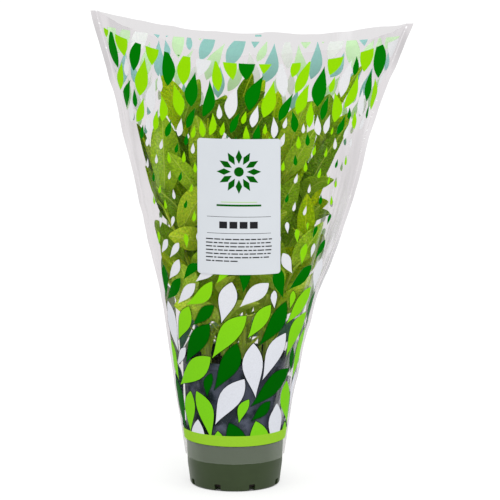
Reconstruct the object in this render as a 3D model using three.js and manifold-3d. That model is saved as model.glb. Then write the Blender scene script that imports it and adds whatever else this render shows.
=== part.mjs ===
// A pot of common sage in a clear film sleeve, as it is sold. Lengths are millimetres and +Z is up.
// The origin is the middle of the pot's underside, and the labelled front of the sleeve faces -Y.

import * as THREE from "three";
import { mergeVertices } from "three/addons/utils/BufferGeometryUtils.js";
import Module from "manifold-3d";

const wasm = await Module();
wasm.setup();

// Driving dimensions: the pot
const RIM_RADIUS = 50;
const RIM_HEIGHT = 125;
const RIM_BAND = 7;
const RIM_OVERHANG = 1.6;
const FOOT_RADIUS = 42.8;
const FOOT_ROUNDING = 1.8;
const KNEE_RADIUS = 45.15;
const KNEE_HEIGHT = 20;
const POT_WALL = 1.4;
const POT_FLOOR = 1.8;
const NOTCH_COUNT = 8;
const NOTCH_WIDTH = 6.4;
const NOTCH_HEIGHT = 6.2;
const NOTCH_DEPTH = 8;
const POT_SIDES = 40;

// Driving dimensions: the soil, and the clearance where pieces touch
const GAP = 0.3;
const SOIL_TOP = 113;
const SOIL_MOUND = 4;
const SOIL_LUMP = 1.3;
const STEM_SOCKET = 20;
const SOIL_SIDES = 24;

// Driving dimensions: the sleeve, whose two sheets are flat trapezia welded along both edges
const HEM_HEIGHT = 27;
const MOUTH_HEIGHT = 424;
const HEM_SHEET_WIDTH = 144.7;
const MOUTH_SHEET_WIDTH = 312.8;
const FLATTEN_FROM = 118;
const MOUTH_FLATNESS = 0.66;
const ROUND_POWER = 0.5;
const LENS_POWER = 0.75;
const FLANGE_AT_HEM = 1;
const FLANGE_AT_MOUTH = 6.5;
const CORNER_RISE = 25.8;
const LEFT_CORNER_EXTRA = 6.2;
const LEAN_FROM = 95;
const LEAN = 0.05;
const FILM_WALL = 0.6;
const WELD_FILLET = 0.3;
const SECTION_STEP = 5;
const ARC_STEPS = 96;
const SLEEVE_COLUMNS = 16;
const SLEEVE_LEVELS = 10;

// Driving dimensions: the label, on the front sheet
const LABEL_LEFT = -35;
const LABEL_WIDTH = 78;
const LABEL_BOTTOM = 215;
const LABEL_HEIGHT = 130;
const LABEL_CORNER = 3;
const LABEL_THICKNESS = 0.5;

// Driving dimensions: the sage
const STEM_FOOT_RADIUS = 1.7;
const STEM_TIP_RADIUS = 1.15;
const STEM_SIDES = 5;
const STEM_STEPS = 9;
const PETIOLE_SHARE = 0.13;
const PETIOLE_HALF_WIDTH = 0.95;
const PETIOLE_THICKNESS = 1.2;
const ROOT_OFFSET = 0.7;
const BLADE_THICKNESS = 0.7;
const TOOTH = 0.045;
const STEM_BASE = SOIL_TOP + 8;
const STEM_SPREAD = 0.12;
const FILM_CLEARANCE = 2.6;
const FREE_SHARE = 0.8;
const WIDEST_SHARE = 0.95;
const LEAF_CLEARANCE = 5.4;
const STEM_CLEARANCE = 3.6;
const SIBLING_CLEARANCE = 3;
const LEAF_TRIES = 24;
const SEED = 4181;

// Small helpers

const mix = (from, to, share) => from + (to - from) * share;
const limit = (value, low, high) => Math.min(high, Math.max(low, value));

// Seeded draws by a multiplicative rule on whole numbers.
function drawsFrom(seed) {
  let state = seed;
  return (low, high) => {
    state = (state * 48271) % 2147483647;
    return mix(low, high, state / 2147483647);
  };
}

function solidOf(geometry) {
  const bare = geometry.clone();
  bare.deleteAttribute("normal");
  bare.deleteAttribute("uv");
  const merged = mergeVertices(bare, 1e-4);
  return new wasm.Manifold(
    new wasm.Mesh({
      numProp: 3,
      vertProperties: merged.attributes.position.array,
      triVerts: new Uint32Array(merged.index.array),
    }),
  );
}

function geometryOf(points, triangles) {
  const geometry = new THREE.BufferGeometry();
  geometry.setAttribute("position", new THREE.Float32BufferAttribute(points.flat(), 3));
  geometry.setIndex(triangles.flat());
  return geometry;
}

function meshFrom(name, solid, material) {
  const { vertProperties, triVerts } = solid.getMesh();
  const geometry = new THREE.BufferGeometry();
  geometry.setAttribute("position", new THREE.BufferAttribute(vertProperties, 3));
  geometry.setIndex(new THREE.BufferAttribute(triVerts, 1));
  geometry.computeVertexNormals();
  const mesh = new THREE.Mesh(geometry, material);
  mesh.name = name;
  return mesh;
}

const quad = (a, b, c, d) => [
  [a, b, c],
  [a, c, d],
];

// The sleeve's cross-section at a height: two like arcs that meet at the welds.

const sheetWidthAt = (z) =>
  mix(HEM_SHEET_WIDTH, MOUTH_SHEET_WIDTH, (z - HEM_HEIGHT) / (MOUTH_HEIGHT - HEM_HEIGHT));

const flatnessAt = (z) =>
  (MOUTH_FLATNESS * Math.max(0, z - FLATTEN_FROM)) / (MOUTH_HEIGHT - FLATTEN_FROM);

const flangeAt = (z) =>
  mix(FLANGE_AT_HEM, FLANGE_AT_MOUTH, (z - HEM_HEIGHT) / (MOUTH_HEIGHT - HEM_HEIGHT));

const leanAt = (z) => LEAN * Math.max(0, z - LEAN_FROM);

function arcPoint(section, angle) {
  const across = -section.halfWidth * Math.cos(angle);
  const out = section.depth * Math.pow(Math.sin(angle), 2 * section.power);
  return [across, out];
}

function arcLengths(section, steps) {
  const lengths = [0];
  let last = arcPoint(section, 0);
  for (let i = 1; i <= steps; i++) {
    const next = arcPoint(section, (Math.PI * i) / steps);
    lengths.push(lengths[i - 1] + Math.hypot(next[0] - last[0], next[1] - last[1]));
    last = next;
  }
  return lengths;
}

// The depth follows from the sheet's flat width, which the film keeps at every height.
function solveSection(z) {
  const width = sheetWidthAt(z);
  const flatness = flatnessAt(z);
  const section = {
    halfWidth: mix(width / Math.PI, width / 2, flatness),
    power: mix(ROUND_POWER, LENS_POWER, flatness / MOUTH_FLATNESS),
    middle: leanAt(z),
    depth: 0,
  };
  let low = 0;
  let high = 100;
  for (let i = 0; i < 30; i++) {
    section.depth = (low + high) / 2;
    if (arcLengths(section, ARC_STEPS)[ARC_STEPS] > width) high = section.depth;
    else low = section.depth;
  }
  return section;
}

const sectionTable = [];
for (let z = HEM_HEIGHT; z < MOUTH_HEIGHT + 1.5 * CORNER_RISE; z += SECTION_STEP) {
  sectionTable.push(solveSection(z));
}

function sectionAt(z) {
  const place = limit((z - HEM_HEIGHT) / SECTION_STEP, 0, sectionTable.length - 1.001);
  const index = Math.floor(place);
  const share = place - index;
  const below = sectionTable[index];
  const above = sectionTable[index + 1];
  return {
    halfWidth: mix(below.halfWidth, above.halfWidth, share),
    power: mix(below.power, above.power, share),
    middle: mix(below.middle, above.middle, share),
    depth: mix(below.depth, above.depth, share),
  };
}

// The place on the front arc at a share of the sheet's width, 0 at the left weld and 1 at the right.
function placeOnArc(section, share) {
  const lengths = arcLengths(section, ARC_STEPS);
  const wanted = share * lengths[ARC_STEPS];
  let i = 1;
  while (i < ARC_STEPS && lengths[i] < wanted) i++;
  const within = (wanted - lengths[i - 1]) / (lengths[i] - lengths[i - 1]);
  return arcPoint(section, (Math.PI * (i - 1 + within)) / ARC_STEPS);
}

// The straight top edge of a conical sheet rises towards its welds, more at the left.
const topEdgeAt = (share) => {
  const side = 2 * share - 1;
  return MOUTH_HEIGHT + CORNER_RISE * side * side - LEFT_CORNER_EXTRA * side;
};

// The sleeve

function sleeveGeometry() {
  const points = [];
  const triangles = [];
  const outer = [];
  const inner = [];
  const put = (x, y, z) => points.push([x, y, z]) - 1;
  for (let level = 0; level <= SLEEVE_LEVELS; level++) {
    const rows = { front: [], back: [], frontIn: [], backIn: [] };
    let leftFlange = [];
    let rightFlange = [];
    for (let i = 0; i <= SLEEVE_COLUMNS; i++) {
      const share = i / SLEEVE_COLUMNS;
      const z = mix(HEM_HEIGHT, topEdgeAt(share), level / SLEEVE_LEVELS);
      const section = sectionAt(z);
      const [across, out] = placeOnArc(section, share);
      const atWeld = i === 0 || i === SLEEVE_COLUMNS;
      const x = section.middle + across;
      if (atWeld) {
        const side = i === 0 ? -1 : 1;
        const tip = x + side * flangeAt(z);
        const flange = [put(tip, -FILM_WALL, z), put(tip, FILM_WALL, z)];
        if (i === 0) leftFlange = flange;
        else rightFlange = flange;
        rows.front.push(put(x, -FILM_WALL, z));
        rows.back.push(put(x, FILM_WALL, z));
        const corner = put(x - side * WELD_FILLET, 0, z);
        rows.frontIn.push(corner);
        rows.backIn.push(corner);
        continue;
      }
      const before = placeOnArc(section, share - 0.01);
      const after = placeOnArc(section, share + 0.01);
      const run = Math.hypot(after[0] - before[0], after[1] - before[1]);
      const normalX = (-(after[1] - before[1]) / run) * FILM_WALL;
      const normalY = ((after[0] - before[0]) / run) * FILM_WALL;
      rows.front.push(put(x + normalX, -out - normalY, z));
      rows.back.push(put(x + normalX, out + normalY, z));
      rows.frontIn.push(put(x, -out, z));
      rows.backIn.push(put(x, out, z));
    }
    outer.push([...rows.front, ...rightFlange, ...rows.back.reverse(), ...leftFlange.reverse()]);
    inner.push([...rows.frontIn, ...rows.backIn.reverse().slice(1, -1)]);
  }
  const wrap = (rings, level, i) => rings[level][i % rings[level].length];
  for (let level = 0; level < SLEEVE_LEVELS; level++) {
    for (let i = 0; i < outer[0].length; i++) {
      triangles.push(
        ...quad(
          wrap(outer, level, i),
          wrap(outer, level, i + 1),
          wrap(outer, level + 1, i + 1),
          wrap(outer, level + 1, i),
        ),
      );
    }
    for (let i = 0; i < inner[0].length; i++) {
      triangles.push(
        ...quad(
          wrap(inner, level, i + 1),
          wrap(inner, level, i),
          wrap(inner, level + 1, i),
          wrap(inner, level + 1, i + 1),
        ),
      );
    }
  }
  // Each edge is closed by the strips of film between the loops and by the two flanges.
  const last = SLEEVE_COLUMNS;
  const edgeFaces = (level) => {
    const out = outer[level];
    const within = inner[level];
    const faces = [];
    for (let i = 0; i < last; i++) {
      faces.push(...quad(out[i], within[i], within[i + 1], out[i + 1]));
      const back = last + 3 + i;
      const backIn = last + i;
      faces.push(
        ...quad(out[back], within[backIn], within[(backIn + 1) % within.length], out[back + 1]),
      );
    }
    faces.push([out[last], within[last], out[last + 3]]);
    faces.push(...quad(out[last], out[last + 3], out[last + 2], out[last + 1]));
    const end = 2 * last + 3;
    faces.push([out[end], within[0], out[0]]);
    faces.push(...quad(out[end], out[0], out[end + 2], out[end + 1]));
    return faces;
  };
  triangles.push(...edgeFaces(0));
  for (const [a, b, c] of edgeFaces(SLEEVE_LEVELS)) triangles.push([a, c, b]);
  return geometryOf(points, triangles);
}

// The label lies on the front sheet and follows its curve.

function frontSurfaceAt(x, z) {
  const section = sectionAt(z);
  const across = (x - section.middle) / section.halfWidth;
  return -(section.depth * Math.pow(1 - across * across, section.power) + FILM_WALL);
}

function labelGeometry() {
  const columns = [0, LABEL_CORNER, 15, 27, 39, 51, 63, LABEL_WIDTH - LABEL_CORNER, LABEL_WIDTH];
  const rows = [0, LABEL_CORNER, 44, 86, LABEL_HEIGHT - LABEL_CORNER, LABEL_HEIGHT];
  const bevel = LABEL_CORNER * (1 - Math.SQRT1_2);
  const points = [];
  const triangles = [];
  for (const face of [LABEL_THICKNESS, 0]) {
    rows.forEach((row, i) =>
      columns.forEach((column, j) => {
        const atSide = j === 0 || j === columns.length - 1;
        const atEnd = i === 0 || i === rows.length - 1;
        const inset = atSide && atEnd ? bevel : 0;
        const x = LABEL_LEFT + column + (j === 0 ? inset : -inset);
        const z = LABEL_BOTTOM + row + (i === 0 ? inset : -inset);
        points.push([x, frontSurfaceAt(x, z) - 1.2 * GAP - face, z]);
      }),
    );
  }
  const wide = columns.length;
  const back = wide * rows.length;
  const at = (i, j) => i * wide + j;
  for (let i = 0; i < rows.length - 1; i++) {
    for (let j = 0; j < wide - 1; j++) {
      const corners = [at(i, j), at(i, j + 1), at(i + 1, j + 1), at(i + 1, j)];
      triangles.push(...quad(...corners));
      for (const [a, b, c] of quad(...corners)) triangles.push([a + back, c + back, b + back]);
    }
  }
  const edge = [];
  for (let j = 0; j < wide - 1; j++) edge.push(at(0, j));
  for (let i = 0; i < rows.length - 1; i++) edge.push(at(i, wide - 1));
  for (let j = wide - 1; j > 0; j--) edge.push(at(rows.length - 1, j));
  for (let i = rows.length - 1; i > 0; i--) edge.push(at(i, 0));
  edge.forEach((from, k) => {
    const to = edge[(k + 1) % edge.length];
    triangles.push(...quad(from, from + back, to + back, to));
  });
  return geometryOf(points, triangles);
}

// The pot

function potRadiusAt(z) {
  if (z > KNEE_HEIGHT) {
    const share = (z - KNEE_HEIGHT) / (RIM_HEIGHT - RIM_BAND - KNEE_HEIGHT);
    return mix(KNEE_RADIUS, RIM_RADIUS - RIM_OVERHANG, limit(share, 0, 1));
  }
  const share = (z - FOOT_ROUNDING) / (KNEE_HEIGHT - FOOT_ROUNDING);
  return mix(FOOT_RADIUS, KNEE_RADIUS, limit(share, 0, 1));
}

function potSolid() {
  const profile = [[0, 0]];
  for (let i = 0; i <= 3; i++) {
    const angle = (Math.PI / 2) * (i / 3);
    const radius = FOOT_RADIUS - FOOT_ROUNDING * (1 - Math.sin(angle));
    profile.push([radius, FOOT_ROUNDING * (1 - Math.cos(angle))]);
  }
  const bandFoot = RIM_HEIGHT - RIM_BAND;
  profile.push([KNEE_RADIUS, KNEE_HEIGHT]);
  profile.push([potRadiusAt(bandFoot), bandFoot]);
  profile.push([RIM_RADIUS, bandFoot + 1]);
  profile.push([RIM_RADIUS, RIM_HEIGHT - 0.8]);
  profile.push([RIM_RADIUS - 0.8, RIM_HEIGHT]);
  profile.push([RIM_RADIUS - RIM_OVERHANG - POT_WALL + 0.6, RIM_HEIGHT]);
  profile.push([RIM_RADIUS - RIM_OVERHANG - POT_WALL, RIM_HEIGHT - 0.8]);
  profile.push([KNEE_RADIUS - POT_WALL, KNEE_HEIGHT]);
  profile.push([FOOT_RADIUS - POT_WALL, POT_FLOOR + 3]);
  profile.push([FOOT_RADIUS - POT_WALL - 3, POT_FLOOR]);
  profile.push([0, POT_FLOOR]);
  const outline = profile.map(([radius, height]) => new THREE.Vector2(radius, height));
  let pot = solidOf(new THREE.LatheGeometry(outline, POT_SIDES).rotateX(Math.PI / 2));
  for (let i = 0; i < NOTCH_COUNT; i++) {
    const turn = ((i + 0.5) / NOTCH_COUNT) * 2 * Math.PI;
    const notch = new THREE.BoxGeometry(NOTCH_WIDTH, 2 * NOTCH_DEPTH, 2 * NOTCH_HEIGHT);
    notch.translate(0, -FOOT_RADIUS - 1, 0).rotateZ(turn);
    pot = pot.subtract(solidOf(notch));
  }
  return pot;
}

// The sage's stems: each foot stands in the soil, and each tip is where its last pair of leaves grows.

const stems = [
  { foot: [-24, -12], tip: [-66, -20, 268] },
  { foot: [-12, 22], tip: [-50, 26, 338] },
  { foot: [-10, -28], tip: [-30, -36, 306] },
  { foot: [-3, 2], tip: [2, 4, 352] },
  { foot: [9, -29], tip: [10, -36, 262] },
  { foot: [12, 27], tip: [34, 32, 322] },
  { foot: [23, -14], tip: [46, -28, 300] },
  { foot: [28, 10], tip: [84, 8, 318] },
  { foot: [-30, 8], tip: [-84, 12, 296] },
  { foot: [-27, -26], tip: [-58, -42, 222] },
  { foot: [30, -24], tip: [66, -38, 234] },
];

const stemNames = stems.map((stem, index) => `sage_stem_${String(index + 1).padStart(2, "0")}`);

// A stem rises nearly straight and then leans out towards its tip.
function stemCourse(stem, share) {
  const [footX, footY] = stem.foot;
  const [tipX, tipY, tipZ] = stem.tip;
  const bendX = mix(footX, tipX, STEM_SPREAD);
  const bendY = mix(footY, tipY, STEM_SPREAD);
  const bendZ = mix(STEM_BASE, tipZ, 0.5);
  const near = (1 - share) * (1 - share);
  const middle = 2 * share * (1 - share);
  const far = share * share;
  return [
    near * footX + middle * bendX + far * tipX,
    near * footY + middle * bendY + far * tipY,
    near * STEM_BASE + middle * bendZ + far * tipZ,
  ];
}

// Where a stem or a leaf would pass through the film, it bends along the inside of the sleeve.
function bendInside([x, y, z]) {
  const ease = (value) => {
    const size = Math.abs(value);
    const spare = 1 - FREE_SHARE;
    if (size < FREE_SHARE) return value;
    return Math.sign(value) * (1 - spare * Math.exp((FREE_SHARE - size) / spare));
  };
  const section = sectionAt(z);
  const widest = WIDEST_SHARE * section.halfWidth;
  const across = WIDEST_SHARE * ease((x - section.middle) / widest);
  const room = section.depth * Math.pow(1 - across * across, section.power) - FILM_CLEARANCE;
  return [section.middle + across * section.halfWidth, room * ease(y / room), z];
}

const stemPoint = (stem, share) => bendInside(stemCourse(stem, share));

function stemGeometry(stem) {
  const centres = [[...stem.foot, SOIL_TOP - STEM_SOCKET + GAP]];
  for (let i = 0; i <= STEM_STEPS; i++) centres.push(stemPoint(stem, i / STEM_STEPS));
  const points = [];
  const triangles = [];
  centres.forEach(([x, y, z], row) => {
    const radius = mix(STEM_FOOT_RADIUS, STEM_TIP_RADIUS, row / (centres.length - 1));
    for (let k = 0; k < STEM_SIDES; k++) {
      const angle = (2 * Math.PI * k) / STEM_SIDES;
      points.push([x + radius * Math.cos(angle), y + radius * Math.sin(angle), z]);
    }
  });
  const last = centres.length - 1;
  const at = (row, k) => row * STEM_SIDES + (k % STEM_SIDES);
  for (let row = 0; row < last; row++) {
    for (let k = 0; k < STEM_SIDES; k++) {
      triangles.push(...quad(at(row, k), at(row, k + 1), at(row + 1, k + 1), at(row + 1, k)));
    }
  }
  for (let k = 1; k < STEM_SIDES - 1; k++) {
    triangles.push([at(0, 0), at(0, k + 1), at(0, k)]);
    triangles.push([at(last, 0), at(last, k), at(last, k + 1)]);
  }
  return geometryOf(points, triangles);
}

// A leaf starts on its stem, leaves it at a heading and a climb, and arches over by its droop.

function leafSpine(leaf, share) {
  const low = leaf.climb - leaf.droop * share;
  const reach = ROOT_OFFSET + (leaf.length * (Math.sin(leaf.climb) - Math.sin(low))) / leaf.droop;
  const rise = (leaf.length * (Math.cos(low) - Math.cos(leaf.climb))) / leaf.droop;
  return [
    leaf.root[0] + reach * Math.cos(leaf.heading),
    leaf.root[1] + reach * Math.sin(leaf.heading),
    leaf.root[2] + rise,
  ];
}

function halfWidthAt(leaf, share) {
  if (share <= PETIOLE_SHARE) return PETIOLE_HALF_WIDTH;
  const along = (share - PETIOLE_SHARE) / (1 - PETIOLE_SHARE);
  const swell = Math.pow(Math.sin(Math.PI * Math.pow(along, 0.86)), 0.78);
  return mix(PETIOLE_HALF_WIDTH, 0.45, along) + (leaf.width / 2 - 0.7) * swell;
}

function leafPoint(leaf, share, side) {
  const spine = leafSpine(leaf, share);
  const low = leaf.climb - leaf.droop * share;
  const tangent = [
    Math.cos(low) * Math.cos(leaf.heading),
    Math.cos(low) * Math.sin(leaf.heading),
    Math.sin(low),
  ];
  const level = [-Math.sin(leaf.heading), Math.cos(leaf.heading), 0];
  const up = [
    tangent[1] * level[2] - tangent[2] * level[1],
    tangent[2] * level[0] - tangent[0] * level[2],
    tangent[0] * level[1] - tangent[1] * level[0],
  ];
  const turn = leaf.roll * limit(share / 0.3, 0, 1);
  const half = halfWidthAt(leaf, share);
  const sideways = half * side;
  const wave = leaf.wave * side * side * Math.sin(9 * share + leaf.phase);
  const lift = half * (leaf.fold * Math.abs(side) + wave);
  const alongLevel = sideways * Math.cos(turn) - lift * Math.sin(turn);
  const alongUp = sideways * Math.sin(turn) + lift * Math.cos(turn);
  return bendInside(spine.map((value, k) => value + alongLevel * level[k] + alongUp * up[k]));
}

const LEAF_ROWS = [0, 0.13, 0.3, 0.5, 0.75, 1];

function leafGeometry(leaf) {
  const sides = [-1, 0, 1];
  const grid = LEAF_ROWS.map((share, i) => {
    const tooth = i < 2 || i === LEAF_ROWS.length - 1 ? 1 : 1 + (i % 2 ? TOOTH : -TOOTH);
    return sides.map((side) => leafPoint(leaf, share, side * tooth));
  });
  const wide = sides.length;
  const last = LEAF_ROWS.length - 1;
  const vector = (i, j) => new THREE.Vector3(...grid[i][j]);
  const top = [];
  const bottom = [];
  LEAF_ROWS.forEach((share, i) =>
    sides.forEach((side, j) => {
      const along = vector(Math.min(i + 1, last), j).sub(vector(Math.max(i - 1, 0), j));
      const across = vector(i, Math.min(j + 1, wide - 1)).sub(vector(i, Math.max(j - 1, 0)));
      const thick = mix(PETIOLE_THICKNESS, BLADE_THICKNESS, limit(share / 0.25, 0, 1));
      const normal = along.cross(across).normalize().multiplyScalar(thick / 2);
      top.push(vector(i, j).add(normal).toArray());
      bottom.push(vector(i, j).sub(normal).toArray());
    }),
  );
  const under = top.length;
  const at = (i, j) => i * wide + j;
  const triangles = [];
  for (let i = 0; i < last; i++) {
    for (let j = 0; j < wide - 1; j++) {
      const corners = [at(i, j), at(i + 1, j), at(i + 1, j + 1), at(i, j + 1)];
      triangles.push(...quad(...corners));
      for (const [a, b, c] of quad(...corners)) triangles.push([a + under, c + under, b + under]);
    }
    triangles.push(...quad(at(i, 0), at(i, 0) + under, at(i + 1, 0) + under, at(i + 1, 0)));
    const right = at(i, wide - 1);
    const next = at(i + 1, wide - 1);
    triangles.push(...quad(right, next, next + under, right + under));
  }
  for (let j = 0; j < wide - 1; j++) {
    triangles.push(...quad(at(0, j), at(0, j + 1), at(0, j + 1) + under, at(0, j) + under));
    const tip = at(last, j);
    triangles.push(...quad(tip, tip + under, tip + 1 + under, tip + 1));
  }
  return geometryOf([...top, ...bottom], triangles);
}

// Points spread over a leaf or along a stem, to keep the leaves clear of each other.

function leafProbes(leaf) {
  const probes = [];
  for (let i = 3; i <= 14; i++) {
    for (const side of [-0.95, -0.5, 0, 0.5, 0.95]) probes.push(leafPoint(leaf, i / 14, side));
  }
  return probes;
}

function stemProbes(stem) {
  const probes = [];
  for (let i = 0; i <= 60; i++) probes.push(stemPoint(stem, i / 60));
  return probes;
}

function comesWithin(probes, others, distance) {
  const nearest = distance * distance;
  return probes.some((a) =>
    others.some((b) => {
      const x = a[0] - b[0];
      const y = a[1] - b[1];
      const z = a[2] - b[2];
      return x * x + y * y + z * z < nearest;
    }),
  );
}

// A leaf is kept where it clears the pot's rim, the other stems and every leaf that is there already.
function hasRoom(leaf, probes, placed) {
  const tooLow = probes.some(
    ([x, y, z]) => z < STEM_BASE || (z < RIM_HEIGHT + 8 && Math.hypot(x, y) > 0.75 * RIM_RADIUS),
  );
  if (tooLow) return false;
  const stemInTheWay = stems.some(
    (stem, index) => index !== leaf.stem && comesWithin(probes, stemProbes(stem), STEM_CLEARANCE),
  );
  if (stemInTheWay) return false;
  return !placed.some((other) => {
    const clearance = other.leaf.stem === leaf.stem ? SIBLING_CLEARANCE : LEAF_CLEARANCE;
    return comesWithin(probes, other.probes, clearance);
  });
}

// Leaves that show at the front or reach the edges of the sleeve, each given by where its tip lies.
const chosenLeaves = [
  { stem: 7, at: 0.62, tip: [106, -8, 348], width: 22, droop: 0.35, roll: 0.3 },
  { stem: 6, at: 0.55, tip: [60, -44, 306], width: 28, droop: 0.5, roll: 0.2 },
  { stem: 0, at: 0.7, tip: [-99, -6, 338], width: 20, droop: 0.9, roll: -0.5 },
  { stem: 0, at: 1, tip: [-68, -40, 364], width: 31, droop: 0.35, roll: -0.1 },
  { stem: 2, at: 0.85, tip: [-36, -48, 364], width: 28, droop: 0.4, roll: 0.15 },
  { stem: 0, at: 0.5, tip: [-76, -34, 292], width: 22, droop: 1.3, roll: 0.3 },
  { stem: 3, at: 1, tip: [16, 10, 394], width: 17, droop: 0.3, roll: 0.3 },
  { stem: 7, at: 0.95, tip: [128, 26, 404], width: 9, droop: 0.8, roll: 0.4 },
  { stem: 5, at: 1, tip: [84, 16, 366], width: 19, droop: 0.5, roll: -0.3 },
  { stem: 7, at: 0.5, tip: [98, -12, 262], width: 21, droop: 1.6, roll: 0.4 },
  { stem: 1, at: 1, tip: [-34, 12, 388], width: 19, droop: 0.3, roll: -0.3 },
  { stem: 2, at: 0.6, tip: [-62, -48, 246], width: 26, droop: 0.7, roll: -0.2 },
  { stem: 6, at: 0.95, tip: [66, -40, 374], width: 26, droop: 0.3, roll: 0.2 },
];

// The roll about its spine at which a blade lies along the front and back of the flattened sleeve.
function rollToFilm(heading, climb) {
  const forward = Math.sin(climb) * Math.sin(heading);
  const side = Math.sin(heading) < 0 ? -1 : 1;
  return Math.atan2(side * Math.cos(heading), Math.abs(forward));
}

function leafToTip(chosen) {
  const root = stemCourse(stems[chosen.stem], chosen.at);
  const [x, y, z] = chosen.tip.map((value, k) => value - root[k]);
  const level = Math.hypot(x, y);
  const half = chosen.droop / 2;
  const heading = Math.atan2(y, x);
  const climb = Math.atan2(z, level) + half;
  return {
    ...chosen,
    root,
    heading,
    climb,
    length: (Math.hypot(level, z) * half) / Math.sin(half),
    roll: chosen.roll + rollToFilm(heading, climb),
    fold: 0.22,
    wave: 0.08,
    phase: chosen.tip[0],
  };
}

function growLeaves() {
  const draw = drawsFrom(SEED);
  const placed = chosenLeaves.map((chosen) => {
    const leaf = leafToTip(chosen);
    return { leaf, probes: leafProbes(leaf) };
  });
  stems.forEach((stem, index) => {
    const stemLength = stem.tip[2] - SOIL_TOP;
    let turn = draw(0, Math.PI);
    for (let at = 36 / stemLength; at < 1.01; at += mix(32, 25, at) / stemLength) {
      for (const opposite of [0, Math.PI]) {
        for (let tries = 0; tries < LEAF_TRIES; tries++) {
          const young = Math.pow(at, 3);
          const leaf = {
            stem: index,
            root: stemCourse(stem, Math.min(at, 1)),
            heading: turn + opposite + draw(-0.3, 0.3) * (1 + tries / 5),
            climb: mix(1.1, 1.38, young) + draw(-0.25, 0.12),
            droop: mix(0.7, 0.35, young) + draw(-0.3, 0.5),
            length: mix(94, 62, young) * draw(0.85, 1.12) * (1 - tries / 36),
            roll: draw(-0.4, 0.4),
            fold: draw(0.1, 0.26),
            wave: draw(0.03, 0.12),
            phase: draw(0, 6),
          };
          leaf.width = leaf.length * draw(0.31, 0.39);
          leaf.roll += draw(0.4, 1) * rollToFilm(leaf.heading, leaf.climb);
          const probes = leafProbes(leaf);
          if (!hasRoom(leaf, probes, placed)) continue;
          placed.push({ leaf, probes });
          break;
        }
      }
      turn += Math.PI / 2;
    }
  });
  return placed.map(({ leaf }) => leaf);
}

// The soil

function lumpAt(x, y) {
  const broad = Math.sin(0.23 * x + 1.1) * Math.cos(0.19 * y + 0.4);
  const fine = 0.7 * Math.sin(0.37 * x - 0.33 * y);
  return SOIL_LUMP * (broad + fine);
}

function soilSolid() {
  const wall = (z) => potRadiusAt(z) - POT_WALL - GAP - 0.25;
  const outline = [
    [0, POT_FLOOR + GAP],
    [FOOT_RADIUS - POT_WALL - GAP - 3.6, POT_FLOOR + GAP],
    [FOOT_RADIUS - POT_WALL - GAP - 0.6, POT_FLOOR + GAP + 3.4],
    [wall(KNEE_HEIGHT), KNEE_HEIGHT],
    [wall(60), 60],
    [wall(SOIL_TOP - 3), SOIL_TOP - 3],
    [wall(SOIL_TOP), SOIL_TOP],
    [36, SOIL_TOP + 0.01],
    [24, SOIL_TOP + 0.01],
    [12, SOIL_TOP + 0.01],
    [0, SOIL_TOP + 0.01],
  ].map(([radius, height]) => new THREE.Vector2(radius, height));
  const geometry = new THREE.LatheGeometry(outline, SOIL_SIDES).rotateX(Math.PI / 2);
  const position = geometry.attributes.position;
  for (let i = 0; i < position.count; i++) {
    if (position.getZ(i) < SOIL_TOP) continue;
    const x = position.getX(i);
    const y = position.getY(i);
    const mound = SOIL_MOUND * (1 - (x * x + y * y) / (RIM_RADIUS * RIM_RADIUS));
    position.setZ(i, position.getZ(i) + mound + lumpAt(x, y));
  }
  let soil = solidOf(geometry);
  const holeRadius = (STEM_FOOT_RADIUS + GAP) / Math.cos(Math.PI / 8);
  for (const stem of stems) {
    const hole = new THREE.CylinderGeometry(holeRadius, holeRadius, 2 * STEM_SOCKET, 8);
    hole.rotateX(Math.PI / 2).translate(...stem.foot, SOIL_TOP);
    soil = soil.subtract(solidOf(hole));
  }
  return soil;
}

// Materials

const potPlastic = new THREE.MeshStandardMaterial({ color: 0x3c4a31, roughness: 0.5, metalness: 0 });
const peat = new THREE.MeshStandardMaterial({ color: 0x17140f, roughness: 1, metalness: 0 });
const clearFilm = new THREE.MeshStandardMaterial({
  color: 0xe4e2e5,
  roughness: 0.15,
  metalness: 0,
  transparent: true,
  opacity: 0.3,
});
const labelPaper = new THREE.MeshStandardMaterial({ color: 0xdee2e8, roughness: 0.6, metalness: 0 });

// The assembly

const group = new THREE.Group();
group.add(meshFrom("pot", potSolid(), potPlastic));
group.add(meshFrom("soil", soilSolid(), peat));

const leaves = growLeaves();
stems.forEach((stem, index) => {
  const sageLeaf = new THREE.MeshStandardMaterial({ color: 0x6a9120, roughness: 0.75, metalness: 0 });
  let solid = solidOf(stemGeometry(stem));
  for (const leaf of leaves) {
    if (leaf.stem === index) solid = solid.add(solidOf(leafGeometry(leaf)));
  }
  group.add(meshFrom(stemNames[index], solid, sageLeaf));
});

group.add(meshFrom("sleeve", solidOf(sleeveGeometry()), clearFilm));
group.add(meshFrom("label", solidOf(labelGeometry()), labelPaper));

export default group;
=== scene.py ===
import math
from itertools import combinations

import bpy
import numpy as np
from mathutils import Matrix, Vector
from mathutils.geometry import delaunay_2d_cdt


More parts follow.
